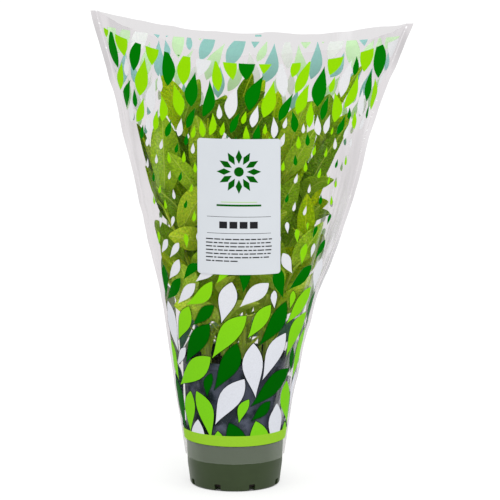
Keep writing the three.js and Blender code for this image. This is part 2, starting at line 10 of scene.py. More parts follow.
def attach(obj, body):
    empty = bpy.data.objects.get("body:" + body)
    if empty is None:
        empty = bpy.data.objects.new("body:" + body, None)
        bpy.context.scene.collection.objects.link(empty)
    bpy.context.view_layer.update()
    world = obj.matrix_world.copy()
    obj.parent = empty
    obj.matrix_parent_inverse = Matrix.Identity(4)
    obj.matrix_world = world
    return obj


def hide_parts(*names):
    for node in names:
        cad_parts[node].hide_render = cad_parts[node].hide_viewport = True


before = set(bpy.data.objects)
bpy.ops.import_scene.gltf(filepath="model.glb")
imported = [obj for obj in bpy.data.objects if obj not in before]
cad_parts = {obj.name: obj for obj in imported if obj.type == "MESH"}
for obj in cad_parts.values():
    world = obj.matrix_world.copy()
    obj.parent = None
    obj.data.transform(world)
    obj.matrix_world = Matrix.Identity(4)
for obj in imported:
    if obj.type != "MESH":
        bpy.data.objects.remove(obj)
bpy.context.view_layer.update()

# A pot of sage in a printed film sleeve. Lengths are millimetres until a mesh is made, and
# metres in the materials and for the lights.
MM = 0.001
FULL_TURN = 2 * math.pi

# The pot, as the frame has it
RIM_RADIUS = 50
RIM_HEIGHT = 125
RIM_BAND = 7
RIM_OVERHANG = 1.6
RIM_ROLL = 1.3
FOOT_RADIUS = 42.8
FOOT_ROUNDING = 1.8
KNEE_RADIUS = 45.15
KNEE_HEIGHT = 20
POT_WALL = 1.4
POT_FLOOR = 1.8
POT_SEGMENTS = 192
NOTCH_COUNT = 8
NOTCH_WIDTH = 6.4
NOTCH_HEIGHT = 6.2
NOTCH_DEPTH = 8
NOTCH_ROUNDING = 1.2

# The soil
GAP = 0.3
SOIL_TOP = 113
SOIL_MOUND = 4
SOIL_LUMP = 1.3
SOIL_SEGMENTS = 144
SOIL_RINGS = 60
CRUMBS = 420

# The sleeve: two flat trapezia of film, welded to each other along both edges
HEM_HEIGHT = 27
MOUTH_HEIGHT = 424
HEM_SHEET_WIDTH = 144.7
MOUTH_SHEET_WIDTH = 312.8
FLATTEN_FROM = 118
MOUTH_FLATNESS = 0.66
ROUND_POWER = 0.5
LENS_POWER = 0.75
FLANGE_AT_HEM = 1
FLANGE_AT_MOUTH = 6.5
CORNER_RISE = 25.8
LEFT_CORNER_EXTRA = 6.2
LEAN_FROM = 95
LEAN = 0.05
FILM_WALL = 0.6
FILM_MIDDLE = 0.3
SECTION_STEP = 5
ARC_STEPS = 96

# The print on the film: a scatter of leaves between a straight band and a straight upper end.
# Each table has rows of a height and what holds there.
BAND_BOTTOM = 45
BAND_TOP = 55.5
PRINT_TOP = 415.6
PRINT_TOP_RISE = 0.82
TURN_OVER_HEIGHT = 262
INK_DEPTH = 0.12
# Printed leaves low down get a dark ring round them, a painted shadow of the print.
INK_SHADOWS_BELOW = 190
INK_SHADOW_WIDTH = 0.75
PRINT_SIZES = [
    (50, 50), (130, 49), (170, 44), (195, 34), (225, 21), (255, 10), (300, 8),
    (335, 10), (352, 16), (372, 27), (395, 35), (420, 38),
]
PRINT_GAPS = [
    (50, 1.0), (150, 1.0), (190, 1.5), (225, 3.5), (262, 8),
    (330, 6.5), (352, 2.6), (375, 1.4), (420, 1.2),
]
BARE_EDGES = [(150, 1.5), (235, 16), (335, 20), (368, 1.5)]
INK_SHARES = [
    (60, 0.27, 0.36, 0.37), (200, 0.25, 0.32, 0.43), (300, 0.46, 0.32, 0.22),
    (366, 0.44, 0.34, 0.22), (386, 0.20, 0.46, 0.34), (398, 0.06, 0.52, 0.42),
]
SMALL_PRINT = (215, 345)
SIZE_PASSES = [1.1, 0.95, 0.8, 0.66, 0.52]
TRIES_A_PASS = 4200
LEANS_A_TRY = 16
FREE_RADIUS_SHARE = 0.19
FREE_REACH = 75

# The label, on the front sheet
LABEL_LEFT = -35
LABEL_WIDTH = 78
LABEL_BOTTOM = 215
LABEL_HEIGHT = 130
LABEL_CORNER = 3
LABEL_BACK = 0.75
LABEL_FRONT = 1.0
LABEL_GRID = 2.5
ROSETTE_HEIGHT = 99
ROSETTE_HUB = 4.6
BAR_HEIGHT = 1.15
BAR_ROWS = 7
BAR_PITCH = 3.5

# The sage
STEM_BASE = SOIL_TOP + 8
STEM_BEND = (0.12, 0.12, 0.5)
STEM_FOOT_RADIUS = 1.7
STEM_TIP_RADIUS = 1.15
STEM_ROWS = 110
STEM_CORNERS = 16
PETIOLE_SHARE = 0.13
PETIOLE_HALF_WIDTH = 0.95
PETIOLE_THICKNESS = 1.2
ROOT_OFFSET = 0.7
BLADE_THICKNESS = 0.6
TOOTH_SPACING = 2.6
TOOTH_DEPTH = 0.035
ROW_SPACING = 0.87
COLUMN_SPACING = 1.5
VEIN_SPACING = 6.4
VEIN_SLANT = 1.15
FIRST_JOINT = 36
LOW_SHOOTS = 6

# How leaves keep clear of the film, of stems and of each other
FILM_CLEARANCE = 2.6
FREE_SHARE = 0.8
WIDEST_SHARE = 0.95
LEAF_CLEARANCE = 5.4
STEM_CLEARANCE = 3.6
SIBLING_CLEARANCE = 3
LEAF_TRIES = 24
SEED = 4181

# A leaf's own map has millimetres across from the midrib and along from its root, times this.
LEAF_MAP = 0.01

# The camera, far off with a long lens, looks down on the front
CAMERA_ELEVATION = math.radians(11.5)
CAMERA_DISTANCE = 6000
VIEW_MIDDLE = (14.4, 0, 225.5)
VIEW_WIDTH = 475
SENSOR_WIDTH = 36
CLIP_END = 200000


def mix(low, high, share):
    return low + (high - low) * share


def smooth_step(value, start, end):
    share = np.clip((value - start) / (end - start), 0, 1)
    return share * share * (3 - 2 * share)


def read_table(table, height):
    return np.interp(height, *zip(*table))


def on_circle(middle, radius, angle):
    return middle[0] + radius * math.cos(angle), middle[1] + radius * math.sin(angle)


def add_object(name, data, place=(0, 0, 0), back=None):
    """An object in the scene. It looks away from where back points."""
    piece = bpy.data.objects.new(name, data)
    piece.location = place
    if back is not None:
        piece.rotation_euler = Vector(back).to_track_quat("Z", "Y").to_euler()
    bpy.context.scene.collection.objects.link(piece)
    return piece


def place_camera():
    camera = bpy.data.cameras.new("camera")
    camera.sensor_width = SENSOR_WIDTH
    camera.lens = SENSOR_WIDTH * CAMERA_DISTANCE / VIEW_WIDTH
    camera.clip_end = CLIP_END * MM
    back = Vector((0, -math.cos(CAMERA_ELEVATION), math.sin(CAMERA_ELEVATION)))
    place = (Vector(VIEW_MIDDLE) + back * CAMERA_DISTANCE) * MM
    bpy.context.scene.camera = add_object("camera", camera, place, back)


# Node graphs

class Field:
    """What a node gives. Arithmetic on it adds more nodes."""

    def __init__(self, nodes, socket):
        self.nodes = nodes
        self.socket = socket

    def __add__(self, other):
        return self.nodes.math("ADD", self, other)

    def __sub__(self, other):
        return self.nodes.math("SUBTRACT", self, other)

    def __mul__(self, other):
        return self.nodes.math("MULTIPLY", self, other)

    def __truediv__(self, other):
        return self.nodes.math("DIVIDE", self, other)

    def __pow__(self, other):
        return self.nodes.math("POWER", self, other)

    def __abs__(self):
        return self.nodes.math("ABSOLUTE", self)


class Nodes:
    """The nodes of one material, with short calls to add and join them."""

    def __init__(self, name):
        self.material = bpy.data.materials.new(name)
        self.material.use_nodes = True
        self.tree = self.material.node_tree
        self.shader = self.tree.nodes["Principled BSDF"]

    def add(self, kind, inputs=None, output=0, **settings):
        node = self.tree.nodes.new(kind)
        for key, value in settings.items():
            setattr(node, key, value)
        for key, value in (inputs or {}).items():
            self.feed(node.inputs[key], value)
        return Field(self, node.outputs[output])

    def feed(self, socket, value):
        if isinstance(value, Field):
            self.tree.links.new(value.socket, socket)
        elif isinstance(value, tuple) and socket.type == "RGBA":
            socket.default_value = (*value, 1)
        else:
            socket.default_value = value

    def place(self):
        return self.add("ShaderNodeTexCoord", output="Object")

    def parts(self, vector):
        node = self.add("ShaderNodeSeparateXYZ", {0: vector}).socket.node
        return [Field(self, socket) for socket in node.outputs]

    def math(self, operation, *values, clamp=False):
        inputs = dict(enumerate(values))
        return self.add("ShaderNodeMath", inputs, operation=operation, use_clamp=clamp)

    def ramp(self, value, start, end, low=0, high=1):
        names = ("Value", "From Min", "From Max", "To Min", "To Max")
        inputs = dict(zip(names, (value, start, end, low, high)))
        return self.add("ShaderNodeMapRange", inputs, "Result", interpolation_type="SMOOTHSTEP")

    def noise(self, place, scale, detail=3, roughness=0.5, stretch=None):
        if stretch:
            place = self.add("ShaderNodeMapping", {"Vector": place, "Scale": stretch})
        inputs = {"Vector": place, "Scale": scale, "Detail": detail, "Roughness": roughness}
        return self.add("ShaderNodeTexNoise", inputs, "Fac")

    def cell_edges(self, place, scale):
        inputs = {"Vector": place, "Scale": scale}
        return self.add("ShaderNodeTexVoronoi", inputs, "Distance", feature="DISTANCE_TO_EDGE")

    def blend(self, share, first, second, how="MIX"):
        inputs = {0: share, 6: first, 7: second}
        return self.add("ShaderNodeMix", inputs, 2, data_type="RGBA", blend_type=how)

    def bump(self, height, strength, distance):
        inputs = {"Height": height, "Strength": strength, "Distance": distance}
        return self.add("ShaderNodeBump", inputs, "Normal")

    def finish(self, **inputs):
        for key, value in inputs.items():
            self.feed(self.shader.inputs[key.replace("_", " ")], value)
        return self.material

    def finish_film(self, share, let_through, **inputs):
        """The shader shows by a share, and elsewhere what is behind it, through a colour."""
        clear = self.add("ShaderNodeBsdfTransparent", {"Color": let_through})
        shaded = Field(self, self.shader.outputs[0])
        surface = self.add("ShaderNodeMixShader", {0: share, 1: clear, 2: shaded})
        self.feed(self.tree.nodes["Material Output"].inputs["Surface"], surface)
        return self.finish(**inputs)


def pot_material():
    """Olive below the sleeve's band, and blue-grey above it with dark patches where film clings.
    The blue-grey is painted shade under a painted bluish reflection of the film, and the dark
    patches show less of that reflection.
    """
    n = Nodes("pot_plastic")
    place = n.place()
    olive = n.blend(n.noise(place, 60), (0.021, 0.035, 0.010), (0.031, 0.050, 0.017))
    patches = n.ramp(n.noise(place, 55, detail=4), 0.47, 0.62)
    # Painted shade and painted reflection of the film on the pot above the band.
    painted_shade_slate = n.blend(patches, (0.118, 0.138, 0.195), (0.020, 0.034, 0.044))
    above_band = n.ramp(n.parts(place)[2], 0.047, 0.052)
    return n.finish(
        Base_Color=n.blend(above_band, olive, painted_shade_slate),
        Roughness=n.ramp(n.noise(place, 30, stretch=(1, 1, 0.15)), 0.3, 0.7, 0.36, 0.5),
        Specular_IOR_Level=0.25,
        Normal=n.bump(n.noise(place, 2600, detail=2), 0.12, 0.0004),
    )


def soil_material():
    n = Nodes("peat")
    place = n.place()
    crumb = n.blend(n.noise(place, 420, detail=6), (0.004, 0.003, 0.002), (0.034, 0.024, 0.015))
    fibres = n.ramp(n.noise(place, 900, stretch=(1, 0.2, 1)), 0.66, 0.7)
    return n.finish(
        Base_Color=n.blend(fibres, crumb, (0.075, 0.048, 0.024)),
        Roughness=0.95,
        Normal=n.bump(n.noise(place, 900, detail=8, roughness=0.7), 0.8, 0.001),
    )


def leaf_material(name, low, high, dark, young, vein, relief):
    """The blade is low to high, and its ribs are vein. Each leaf's number takes it up to young,
    which also serves as painted light on leaves along the film, low down and on the right, and
    down to dark, which is painted shade on leaves deep inside.
    """
    n = Nodes(name)
    flat = n.add("ShaderNodeUVMap", uv_map="leaf")
    across, along, _ = n.parts(flat)
    aside = abs(across)
    vein_count = (along - aside * VEIN_SLANT) / (VEIN_SPACING * LEAF_MAP)
    side_vein = n.ramp(abs(n.math("FRACT", vein_count) - 0.5), 0.05, 0.0)
    midrib = n.ramp(aside, 0.9 * LEAF_MAP, 0.25 * LEAF_MAP)
    net = n.ramp(n.cell_edges(flat, 36), 0.10, 0.0)
    pebbles = n.ramp(n.noise(flat, 42), 0.35, 0.65)
    place = n.place()
    tone_and_painted_light = n.add("ShaderNodeAttribute", output="Fac", attribute_name="tone_and_painted_light")
    patch = n.ramp(n.noise(place, 38), 0.3, 0.7)
    # Painted light: leaves low in the plant, where shade falls, are blended towards a bright
    # yellow-green.
    painted_light_low_down = n.blend(patch, (0.62, 1.0, 0.01), (0.86, 1.0, 0.24))
    blade = n.blend(patch, low, high)
    # Painted light and shade: the young colour also lights leaves along the film, low down and on
    # the right, and the dark colour shades leaves deep inside.
    for share, colour in (
        (n.ramp(tone_and_painted_light, 0.45, 1.0), young),
        (n.ramp(tone_and_painted_light, 0.45, 0.0, 0, 0.85), dark),
        (n.ramp(n.parts(place)[2], 0.235, 0.16, 0, 0.8), painted_light_low_down),
    ):
        blade = n.blend(share, blade, colour)
    blade = n.blend(0.26, blade, pebbles, "OVERLAY")
    for lines, strength in ((net, 0.34), (side_vein, 0.42), (midrib, 0.55)):
        blade = n.blend(lines * strength, blade, vein)
    veins = n.math("MAXIMUM", n.math("MAXIMUM", net, side_vein), midrib)
    down = n.noise(place, 1500, detail=2)
    return n.finish(
        Base_Color=blade,
        Roughness=n.ramp(down, 0.3, 0.7, 0.55, 0.75),
        Specular_IOR_Level=0.02,
        Sheen_Weight=0.005,
        Sheen_Roughness=0.6,
        Sheen_Tint=(0.7, 0.9, 0.3),
        Normal=n.bump(veins * relief + down * 0.35, 0.85, 0.0007),
    )


def stem_material():
    n = Nodes("sage_stem")
    place = n.place()
    # Paler towards the soil.
    toward_soil = n.ramp(n.parts(place)[2], 0.165, 0.12)
    green = n.blend(n.noise(place, 90), (0.40, 0.55, 0.008), (0.54, 0.68, 0.03))
    pale_near_soil = n.blend(n.noise(place, 300), (0.48, 0.68, 0.06), (0.74, 0.90, 0.24))
    down = n.noise(place, 1800, detail=2)
    return n.finish(
        Base_Color=n.blend(toward_soil, green, pale_near_soil),
        Roughness=n.ramp(down, 0.3, 0.7, 0.6, 0.8),
        Sheen_Weight=0.2,
        Normal=n.bump(down, 0.5, 0.0005),
    )


FILM_TINT = (0.832, 0.817, 0.825)
LEAST_MILK = 0.002
STRAND_SLOPE = 0.25


def film_creases(n, place):
    """Long fine pleats that run up the film, as a height from 0 to 1."""
    pleats = n.noise(place, 60, detail=4, roughness=0.6, stretch=(1, 1, 0.12))
    return pleats + n.noise(place, 120, stretch=(1, 1, 0.5)) * 0.35


def film_material(name, tint, haze):
    """tint is what one layer lets through, and haze is how much of it looks milky at the most."""
    n = Nodes(name)
    place = n.place()
    x, y, z = n.parts(place)
    creases = film_creases(n, place)
    beside = n.ramp(abs(x - 0.008), 0.05, 0.11)
    # Painted highlights: the film turns milky along its creases on the flanks.
    painted_crease_highlights = n.ramp(creases, 0.66, 0.95, 0, haze)
    clouds = n.noise(place, 14, detail=2, stretch=(1, 1, 0.35))
    clouds = n.ramp(clouds, 0.5, 0.8, 0, 0.3 * haze)
    at_hem = n.ramp(z, BAND_BOTTOM * MM, (BAND_BOTTOM - 1) * MM)
    # The hem's milk grows towards both sides, a painted reflection where the film turns away.
    hem = at_hem * n.ramp(abs(x), 0.028, 0.044, 0.135, 0.2)
    edge_on = n.add("ShaderNodeLayerWeight", {"Blend": 0.22}, "Facing")

    # Low on the right, pale strands along the film's edge: painted highlights, silvery lines of
    # light in the folds there.
    from_edge = x - z * STRAND_SLOPE
    low_right = n.ramp(from_edge, 0.012, 0.026) * n.ramp(z, 0.315, 0.20)
    low_right = low_right * n.ramp(z, BAND_TOP * MM, (BAND_TOP + 20) * MM)
    along_edge = n.add("ShaderNodeCombineXYZ", {0: from_edge, 1: y, 2: z})
    strands = n.noise(along_edge, 230, detail=2, stretch=(1, 1, 0.03))
    painted_silver_streaks = low_right * n.ramp(strands, 0.42, 0.60, 0.05, 0.5)
    milk = (painted_crease_highlights + clouds) * beside + hem + edge_on**4 * 0.12 + painted_silver_streaks

    dark = tuple(0.86 * c for c in tint)
    light = tuple(min(1.17 * c, 1) for c in tint)
    folds = n.noise(place, 42, detail=2, stretch=(1, 1, 0.16))
    let_through = tint
    # Painted shade: the back sheet lets less through near the mouth, in the fold there, while the
    # front sheet lets more through near its edge. On the flanks, painted shade and painted light
    # in darker and lighter bands along the folds.
    for share, colour in (
        (n.ramp(y, 0.0, 0.004) * n.ramp(z, 0.380, 0.404), dark),
        (n.ramp(y, 0.0, -0.004) * n.ramp(z, 0.400, 0.424), light),
        (n.ramp(folds, 0.46, 0.66) * beside * 0.5, dark),
        (n.ramp(folds, 0.46, 0.3) * beside * 0.5, (0.93, 0.92, 0.93)),
    ):
        let_through = n.blend(share, let_through, colour)

    milky = n.blend(n.noise(place, 20), (0.60, 0.60, 0.63), (0.74, 0.73, 0.75))
    return n.finish_film(
        n.math("ADD", milk, LEAST_MILK, clamp=True),
        let_through,
        Base_Color=n.blend(at_hem, milky, (0.60, 0.68, 0.56)),
        Roughness=0.22,
        Normal=n.bump(creases, 0.35, 0.004),
    )


def weld_material():
    """The seam: pressed film with short white marks painted as glints, most in the upper right."""
    n = Nodes("film_weld")
    place = n.place()
    x, _, z = n.parts(place)
    upper_right = n.ramp(x, 0.0, 0.05) * n.ramp(z, 0.23, 0.30)
    upper_left = n.ramp(x, 0.0, -0.05) * n.ramp(z, 0.405, 0.425)
    most = n.ramp(n.math("MAXIMUM", upper_right, upper_left), 0, 1, 0.04, 0.8)
    # Painted glints on the seam.
    painted_glints = n.ramp(n.noise(place, 260, detail=2, stretch=(0.3, 0.3, 1)), 0.56, 0.64) * most
    return n.finish_film(
        painted_glints,
        FILM_TINT,
        Base_Color=(0.93, 0.93, 0.94),
        Roughness=0.25,
        Normal=n.bump(painted_glints, 0.6, 0.0005),
    )


def ink_material(name, low, high):
    """Ink on the film: low is its colour near the hem and high near the mouth."""
    n = Nodes(name)
    place = n.place()
    colour = n.blend(n.ramp(n.parts(place)[2], 0.08, 0.33), low, high)
    speckle = n.ramp(n.noise(place, 900, detail=2), 0.3, 0.7, 0.93, 1.0)
    return n.finish(
        Base_Color=n.blend(1.0, colour, speckle, "MULTIPLY"),
        Roughness=n.ramp(speckle, 0.93, 1.0, 0.3, 0.22),
        Specular_IOR_Level=0.004,
        Normal=n.bump(film_creases(n, place), 0.2, 0.003),
    )


def paper_material(name, low, high, gloss):
    n = Nodes(name)
    place = n.place()
    fibres = n.noise(place, 700, detail=5)
    return n.finish(
        Base_Color=n.blend(n.noise(place, 25), low, high),
        Roughness=n.ramp(fibres, 0.3, 0.7, 0.42, 0.55),
        Specular_IOR_Level=gloss,
        Normal=n.bump(fibres, 0.08, 0.0004),
    )


def floor_material():
    """White with an even glow, and dark under the pot as a painted shadow, where the drain notches
    show it.
    """
    n = Nodes("studio_floor")
    place = n.place()
    x, y, _ = n.parts(place)
    from_axis = n.math("SQRT", x * x + y * y)
    return n.finish(
        Base_Color=n.blend(n.noise(place, 3), (0.50, 0.50, 0.50), (0.51, 0.51, 0.51)),
        Roughness=0.9,
        Specular_IOR_Level=0.0,
        Emission_Color=(1.0, 1.0, 1.0),
        # Painted shadow: almost no glow within the foot's reach.
        Emission_Strength=n.ramp(from_axis, 0.0405, 0.0425, 0.02, 0.53),
    )


# Meshes

def make_object(name, points, faces, materials, slots=None, sharp=None):
    mesh = bpy.data.meshes.new(name)
    mesh.from_pydata((np.asarray(points, float) * MM).tolist(), [], faces)
    for material in materials:
        mesh.materials.append(material)
    if slots is not None:
        mesh.polygons.foreach_set("material_index", np.asarray(slots, np.int32))
    mesh.shade_smooth()
    if sharp:
        mesh.set_sharp_from_angle(angle=math.radians(sharp))
    return add_object(name, mesh)


class Pile:
    """Points and faces of many like pieces, gathered for one mesh."""

    def __init__(self):
        self.points = []
        self.faces = []
        self.slots = []
        self.maps = []
        self.tones_and_painted_light = []
        self.count = 0

    def add(self, points, faces, slots, places=None, tone_and_painted_light=0.0):
        self.points.append(points)
        self.faces.extend([[i + self.count for i in face] for face in faces])
        self.slots.extend(slots)
        self.maps.append(np.zeros((len(points), 2)) if places is None else places)
        self.tones_and_painted_light.append(np.full(len(points), tone_and_painted_light, np.float32))
        self.count += len(points)

    def build(self, name, materials, sharp=None):
        points = np.concatenate(self.points)
        piece = make_object(name, points, self.faces, materials, self.slots, sharp)
        mesh = piece.data
        corners = np.empty(len(mesh.loops), np.int32)
        mesh.loops.foreach_get("vertex_index", corners)
        places = np.concatenate(self.maps).astype(np.float32)
        mesh.uv_layers.new(name="leaf").uv.foreach_set("vector", places[corners].ravel())
        tones_and_painted_light = mesh.attributes.new("tone_and_painted_light", "FLOAT", "POINT")
        tones_and_painted_light.data.foreach_set("value", np.concatenate(self.tones_and_painted_light))
        return piece


def ring_faces(index):
    """The faces between rows of points, each of which closes into a ring."""
    after = np.roll(index, -1, axis=1)
    faces = np.stack([index[:-1], after[:-1], after[1:], index[1:]], axis=-1)
    return faces.reshape(-1, 4).tolist()


# The sleeve's cross-section at a height: two like arcs that meet at the welds

ARC_ANGLES = math.pi * np.arange(ARC_STEPS + 1) / ARC_STEPS


def up_film(at_hem, at_mouth, z):
    return mix(at_hem, at_mouth, (z - HEM_HEIGHT) / (MOUTH_HEIGHT - HEM_HEIGHT))


def sheet_width(z):
    return up_film(HEM_SHEET_WIDTH, MOUTH_SHEET_WIDTH, z)


def flange_edge(z):
    return sheet_width(z) / 2 + up_film(FLANGE_AT_HEM, FLANGE_AT_MOUTH, z)


def arc_point(half_width, depth, power, angle):
    return -half_width * np.cos(angle), depth * np.sin(angle) ** (2 * power)


def arc_steps(half_width, depth, power):
    """How long the steps between points of the arc are, in a row for each height."""
    arc = arc_point(half_width[:, None], depth[:, None], power[:, None], ARC_ANGLES)
    return np.hypot(*map(np.diff, arc))


def solve_sections():
    """Rows of half width, power, middle and the depth that keeps the sheet's width."""
    z = np.arange(HEM_HEIGHT, MOUTH_HEIGHT + 1.5 * CORNER_RISE, SECTION_STEP, dtype=float)
    width = sheet_width(z)
    flatness = MOUTH_FLATNESS * np.maximum(0, z - FLATTEN_FROM) / (MOUTH_HEIGHT - FLATTEN_FROM)
    half_width = mix(width / math.pi, width / 2, flatness)
    power = mix(ROUND_POWER, LENS_POWER, flatness / MOUTH_FLATNESS)
    middle = LEAN * np.maximum(0, z - LEAN_FROM)
    low = np.zeros(len(z))
    high = np.full(len(z), 100.0)
    for _ in range(30):
        depth = (low + high) / 2
        too_long = arc_steps(half_width, depth, power).sum(axis=1) > width
        high = np.where(too_long, depth, high)
        low = np.where(too_long, low, depth)
    return np.stack([half_width, power, middle, depth], axis=1)


SECTIONS = solve_sections()


def section_at(z):
    """Half width, power, middle and depth of the sleeve at heights z."""
    place = np.clip((np.asarray(z, float) - HEM_HEIGHT) / SECTION_STEP, 0, len(SECTIONS) - 1.001)
    index = np.floor(place).astype(int)
    share = (place - index)[..., None]
    return np.moveaxis(mix(SECTIONS[index], SECTIONS[index + 1], share), -1, 0)


def on_arc(z, share):
    """Across and outwards, at a share of the sheet's width from the left weld."""
    half_width, power, middle, depth = section_at(z)
    lengths = np.cumsum(arc_steps(half_width, depth, power), axis=1)
    lengths = np.pad(lengths, ((0, 0), (1, 0)))
    wanted = share * lengths[:, -1]
    index = np.clip((lengths < wanted[:, None]).sum(axis=1), 1, ARC_STEPS)
    rows = np.arange(len(index))
    before = lengths[rows, index - 1]
    within = (wanted - before) / (lengths[rows, index] - before)
    turn = np.clip(math.pi * (index - 1 + within) / ARC_STEPS, 0, math.pi)
    across, out = arc_point(half_width, depth, power, turn)
    return middle + across, out


def top_edge(share):
    side = 2 * share - 1
    return MOUTH_HEIGHT + CORNER_RISE * side * side - LEFT_CORNER_EXTRA * side


class Folds:
    """Smooth noise on a table of seeded numbers, for folds that are real shape."""

    SIZE = 64

    def __init__(self, seed):
        self.table = np.random.default_rng(seed).random((self.SIZE, self.SIZE))

    def at(self, u, v):
        """A smooth value from 0 to 1."""
        i = np.floor(u).astype(int)
        j = np.floor(v).astype(int)
        a = smooth_step(u - i, 0, 1)
        near = mix(self.pick(i, j), self.pick(i + 1, j), a)
        far = mix(self.pick(i, j + 1), self.pick(i + 1, j + 1), a)
        return mix(near, far, smooth_step(v - j, 0, 1))

    def pick(self, i, j):
        return self.table[i % self.SIZE, j % self.SIZE]

    def crease(self, u, v):
        """1 along sharp lines, falling to 0 between them."""
        return 1 - np.abs(2 * self.at(u, v) - 1)


# The film's surface, by millimetres across the flat sheet from its middle and by height.
# A side is -1 for the front sheet and 1 for the back.

FOLDS = {-1: Folds(3), 1: Folds(5)}
WAVES = Folds(9)


def fold_depth(across, z, side):
    """How far the film stands off its smooth course, outwards."""
    folds = FOLDS[side]
    share = across / (sheet_width(z) / 2)
    soft = 1.5 * (folds.at(across / 26, z / 90 + 7) - 0.5)
    pleats = 1.1 * folds.crease(across / 17 + 0.25 * z / 17, z / 110) ** 3
    crumple = 0.7 * folds.crease(across / 9 + 20, z / 21 + 0.6 * share) ** 4
    flank = smooth_step(np.abs(share), 0.25, 0.7)
    depth = soft + (0.25 + 0.75 * flank) * pleats + 0.6 * flank * crumple
    depth *= 1 - smooth_step(np.abs(share), 0.9, 1.0)
    depth *= smooth_step(z, HEM_HEIGHT + 8, HEM_HEIGHT + 60)
    if side < 0:
        label_middle = LABEL_LEFT + LABEL_WIDTH / 2 - LEAN * (z - LEAN_FROM)
        sideways = np.abs(across - label_middle) - LABEL_WIDTH / 2
        upwards = np.abs(z - (LABEL_BOTTOM + LABEL_HEIGHT / 2)) - LABEL_HEIGHT / 2
        depth *= np.maximum(smooth_step(sideways, 4, 16), smooth_step(upwards, 3, 14))
    return depth


def smooth_film(across, z, side):
    half = sheet_width(z) / 2
    inside = np.clip(across, -half, half)
    x, out = on_arc(z, 0.5 + inside / (2 * half))
    return np.stack([x + across - inside, side * (out + FILM_MIDDLE), z], axis=1)


def outward(surface, across, z, side, step):
    """The surface's outward direction, by small steps both ways."""
    along = surface(across + step, z, side) - surface(across - step, z, side)
    up = surface(across, z + step, side) - surface(across, z - step, side)
    normal = -side * np.cross(along, up)
    return normal / np.linalg.norm(normal, axis=1, keepdims=True)


def edge_wave(across, z):
    """How far the welded edges wave out of their straight course, alike on both sheets."""
    share = 2 * across / sheet_width(z)
    amount = smooth_step(np.abs(share), 0.7, 1.0)
    amount = amount * smooth_step(z, HEM_HEIGHT + 20, HEM_HEIGHT + 90)
    row = np.where(share < 0, 11.0, 31.0)
    sideways = 3.2 * (WAVES.at(z / 37, row) - 0.5) + 1.2 * (WAVES.at(z / 13, row + 5) - 0.5)
    sideways += np.where(share > 0, 5.0, 0.0) * np.exp(-(((z - 258) / 45) ** 2))
    forward = 9 * (WAVES.at(z / 52, row + 9) - 0.5)
    return np.stack([amount * sideways, amount * forward, np.zeros(len(amount))], axis=1)


def film_point(across, z, side, lift=0.0):
    normal = outward(smooth_film, across, z, side, 0.8)
    out = normal * (fold_depth(across, z, side) + lift)[:, None]
    return smooth_film(across, z, side) + out + edge_wave(across, z)


# Flat sheets with shapes printed on them, cut into triangles along every outline

EDGE_STEP = 4


def with_short_edges(shape):
    """The same outline, with points put in so that it can follow a curved surface."""
    shape = np.asarray(shape, float)
    points = []
    for start, end in zip(shape, np.roll(shape, -1, axis=0)):
        count = max(1, math.ceil(np.hypot(*(end - start)) / EDGE_STEP))
        points.extend(start + (end - start) * k / count for k in range(count))
    return points


def cut_sheet(shapes, *grid):
    """Triangles of the first shape, cut along all of them, and the shapes that each lies in."""
    corners = []
    faces = []
    for shape in map(with_short_edges, shapes):
        faces.append(list(range(len(corners), len(corners) + len(shape))))
        corners.extend(shape)
    corners.extend(np.stack(grid, axis=-1).reshape(-1, 2))
    corners = [Vector((float(u), float(v))) for u, v in corners]
    points, _, triangles, _, _, origins = delaunay_2d_cdt(corners, [], faces, 1, 1e-4)
    points = np.array([(p.x, p.y) for p in points])
    kept = [(t, set(o)) for t, o in zip(triangles, origins) if 0 in o]
    triangles = np.array([t for t, _ in kept])
    start = points[triangles[:, 0]]
    one, two = (points[triangles[:, k]] - start for k in (1, 2))
    turned = one[:, 0] * two[:, 1] - one[:, 1] * two[:, 0] < 0
    triangles[turned] = triangles[turned][:, ::-1]
    return points, triangles, [o for _, o in kept]


def box_shape(left, bottom, width, height):
    right = left + width
    top = bottom + height
    return [(left, bottom), (right, bottom), (right, top), (left, top)]


def printed_leaf(length, width, bow, lop, small):
    """An upright leaf or drop outline about its middle. It starts at the foot, with its tail."""
    count = int(np.clip(length / 2.2, 7, 16))
    share = (1 - np.cos(np.linspace(0, math.pi, count))) / 2
    swell = np.sin(math.pi * share ** mix(1.45, 1.8, small)) ** mix(0.88, 0.62, small)
    half = width / 2 * swell
    centre = bow * length * np.sin(math.pi * share)
    right = np.stack([centre + half * (1 + lop), (share - 0.5) * length], axis=1)
    left = np.stack([centre - half * (1 - lop), (share - 0.5) * length], axis=1)
    return np.concatenate([right, left[-2:0:-1]])


def outset(outline, reach):
    """The outline moved outwards by a small reach."""
    along = np.roll(outline, -1, axis=0) - np.roll(outline, 1, axis=0)
    normal = np.stack([along[:, 1], -along[:, 0]], axis=1)
    return outline + reach * normal / np.linalg.norm(normal, axis=1, keepdims=True)


def choose_ink(rng, place, length, printed):
    """The number of an ink, seldom one that a near leaf has already."""
    heights, *columns = zip(*INK_SHARES)
    shares = np.array([np.interp(place[1], heights, column) for column in columns])
    for other, other_length, ink in printed:
        if np.hypot(*(place - other)) < 0.42 * (length + other_length) + 4:
            shares[ink] *= 0.25
    return int(np.searchsorted(np.cumsum(shares), rng.random() * shares.sum()))


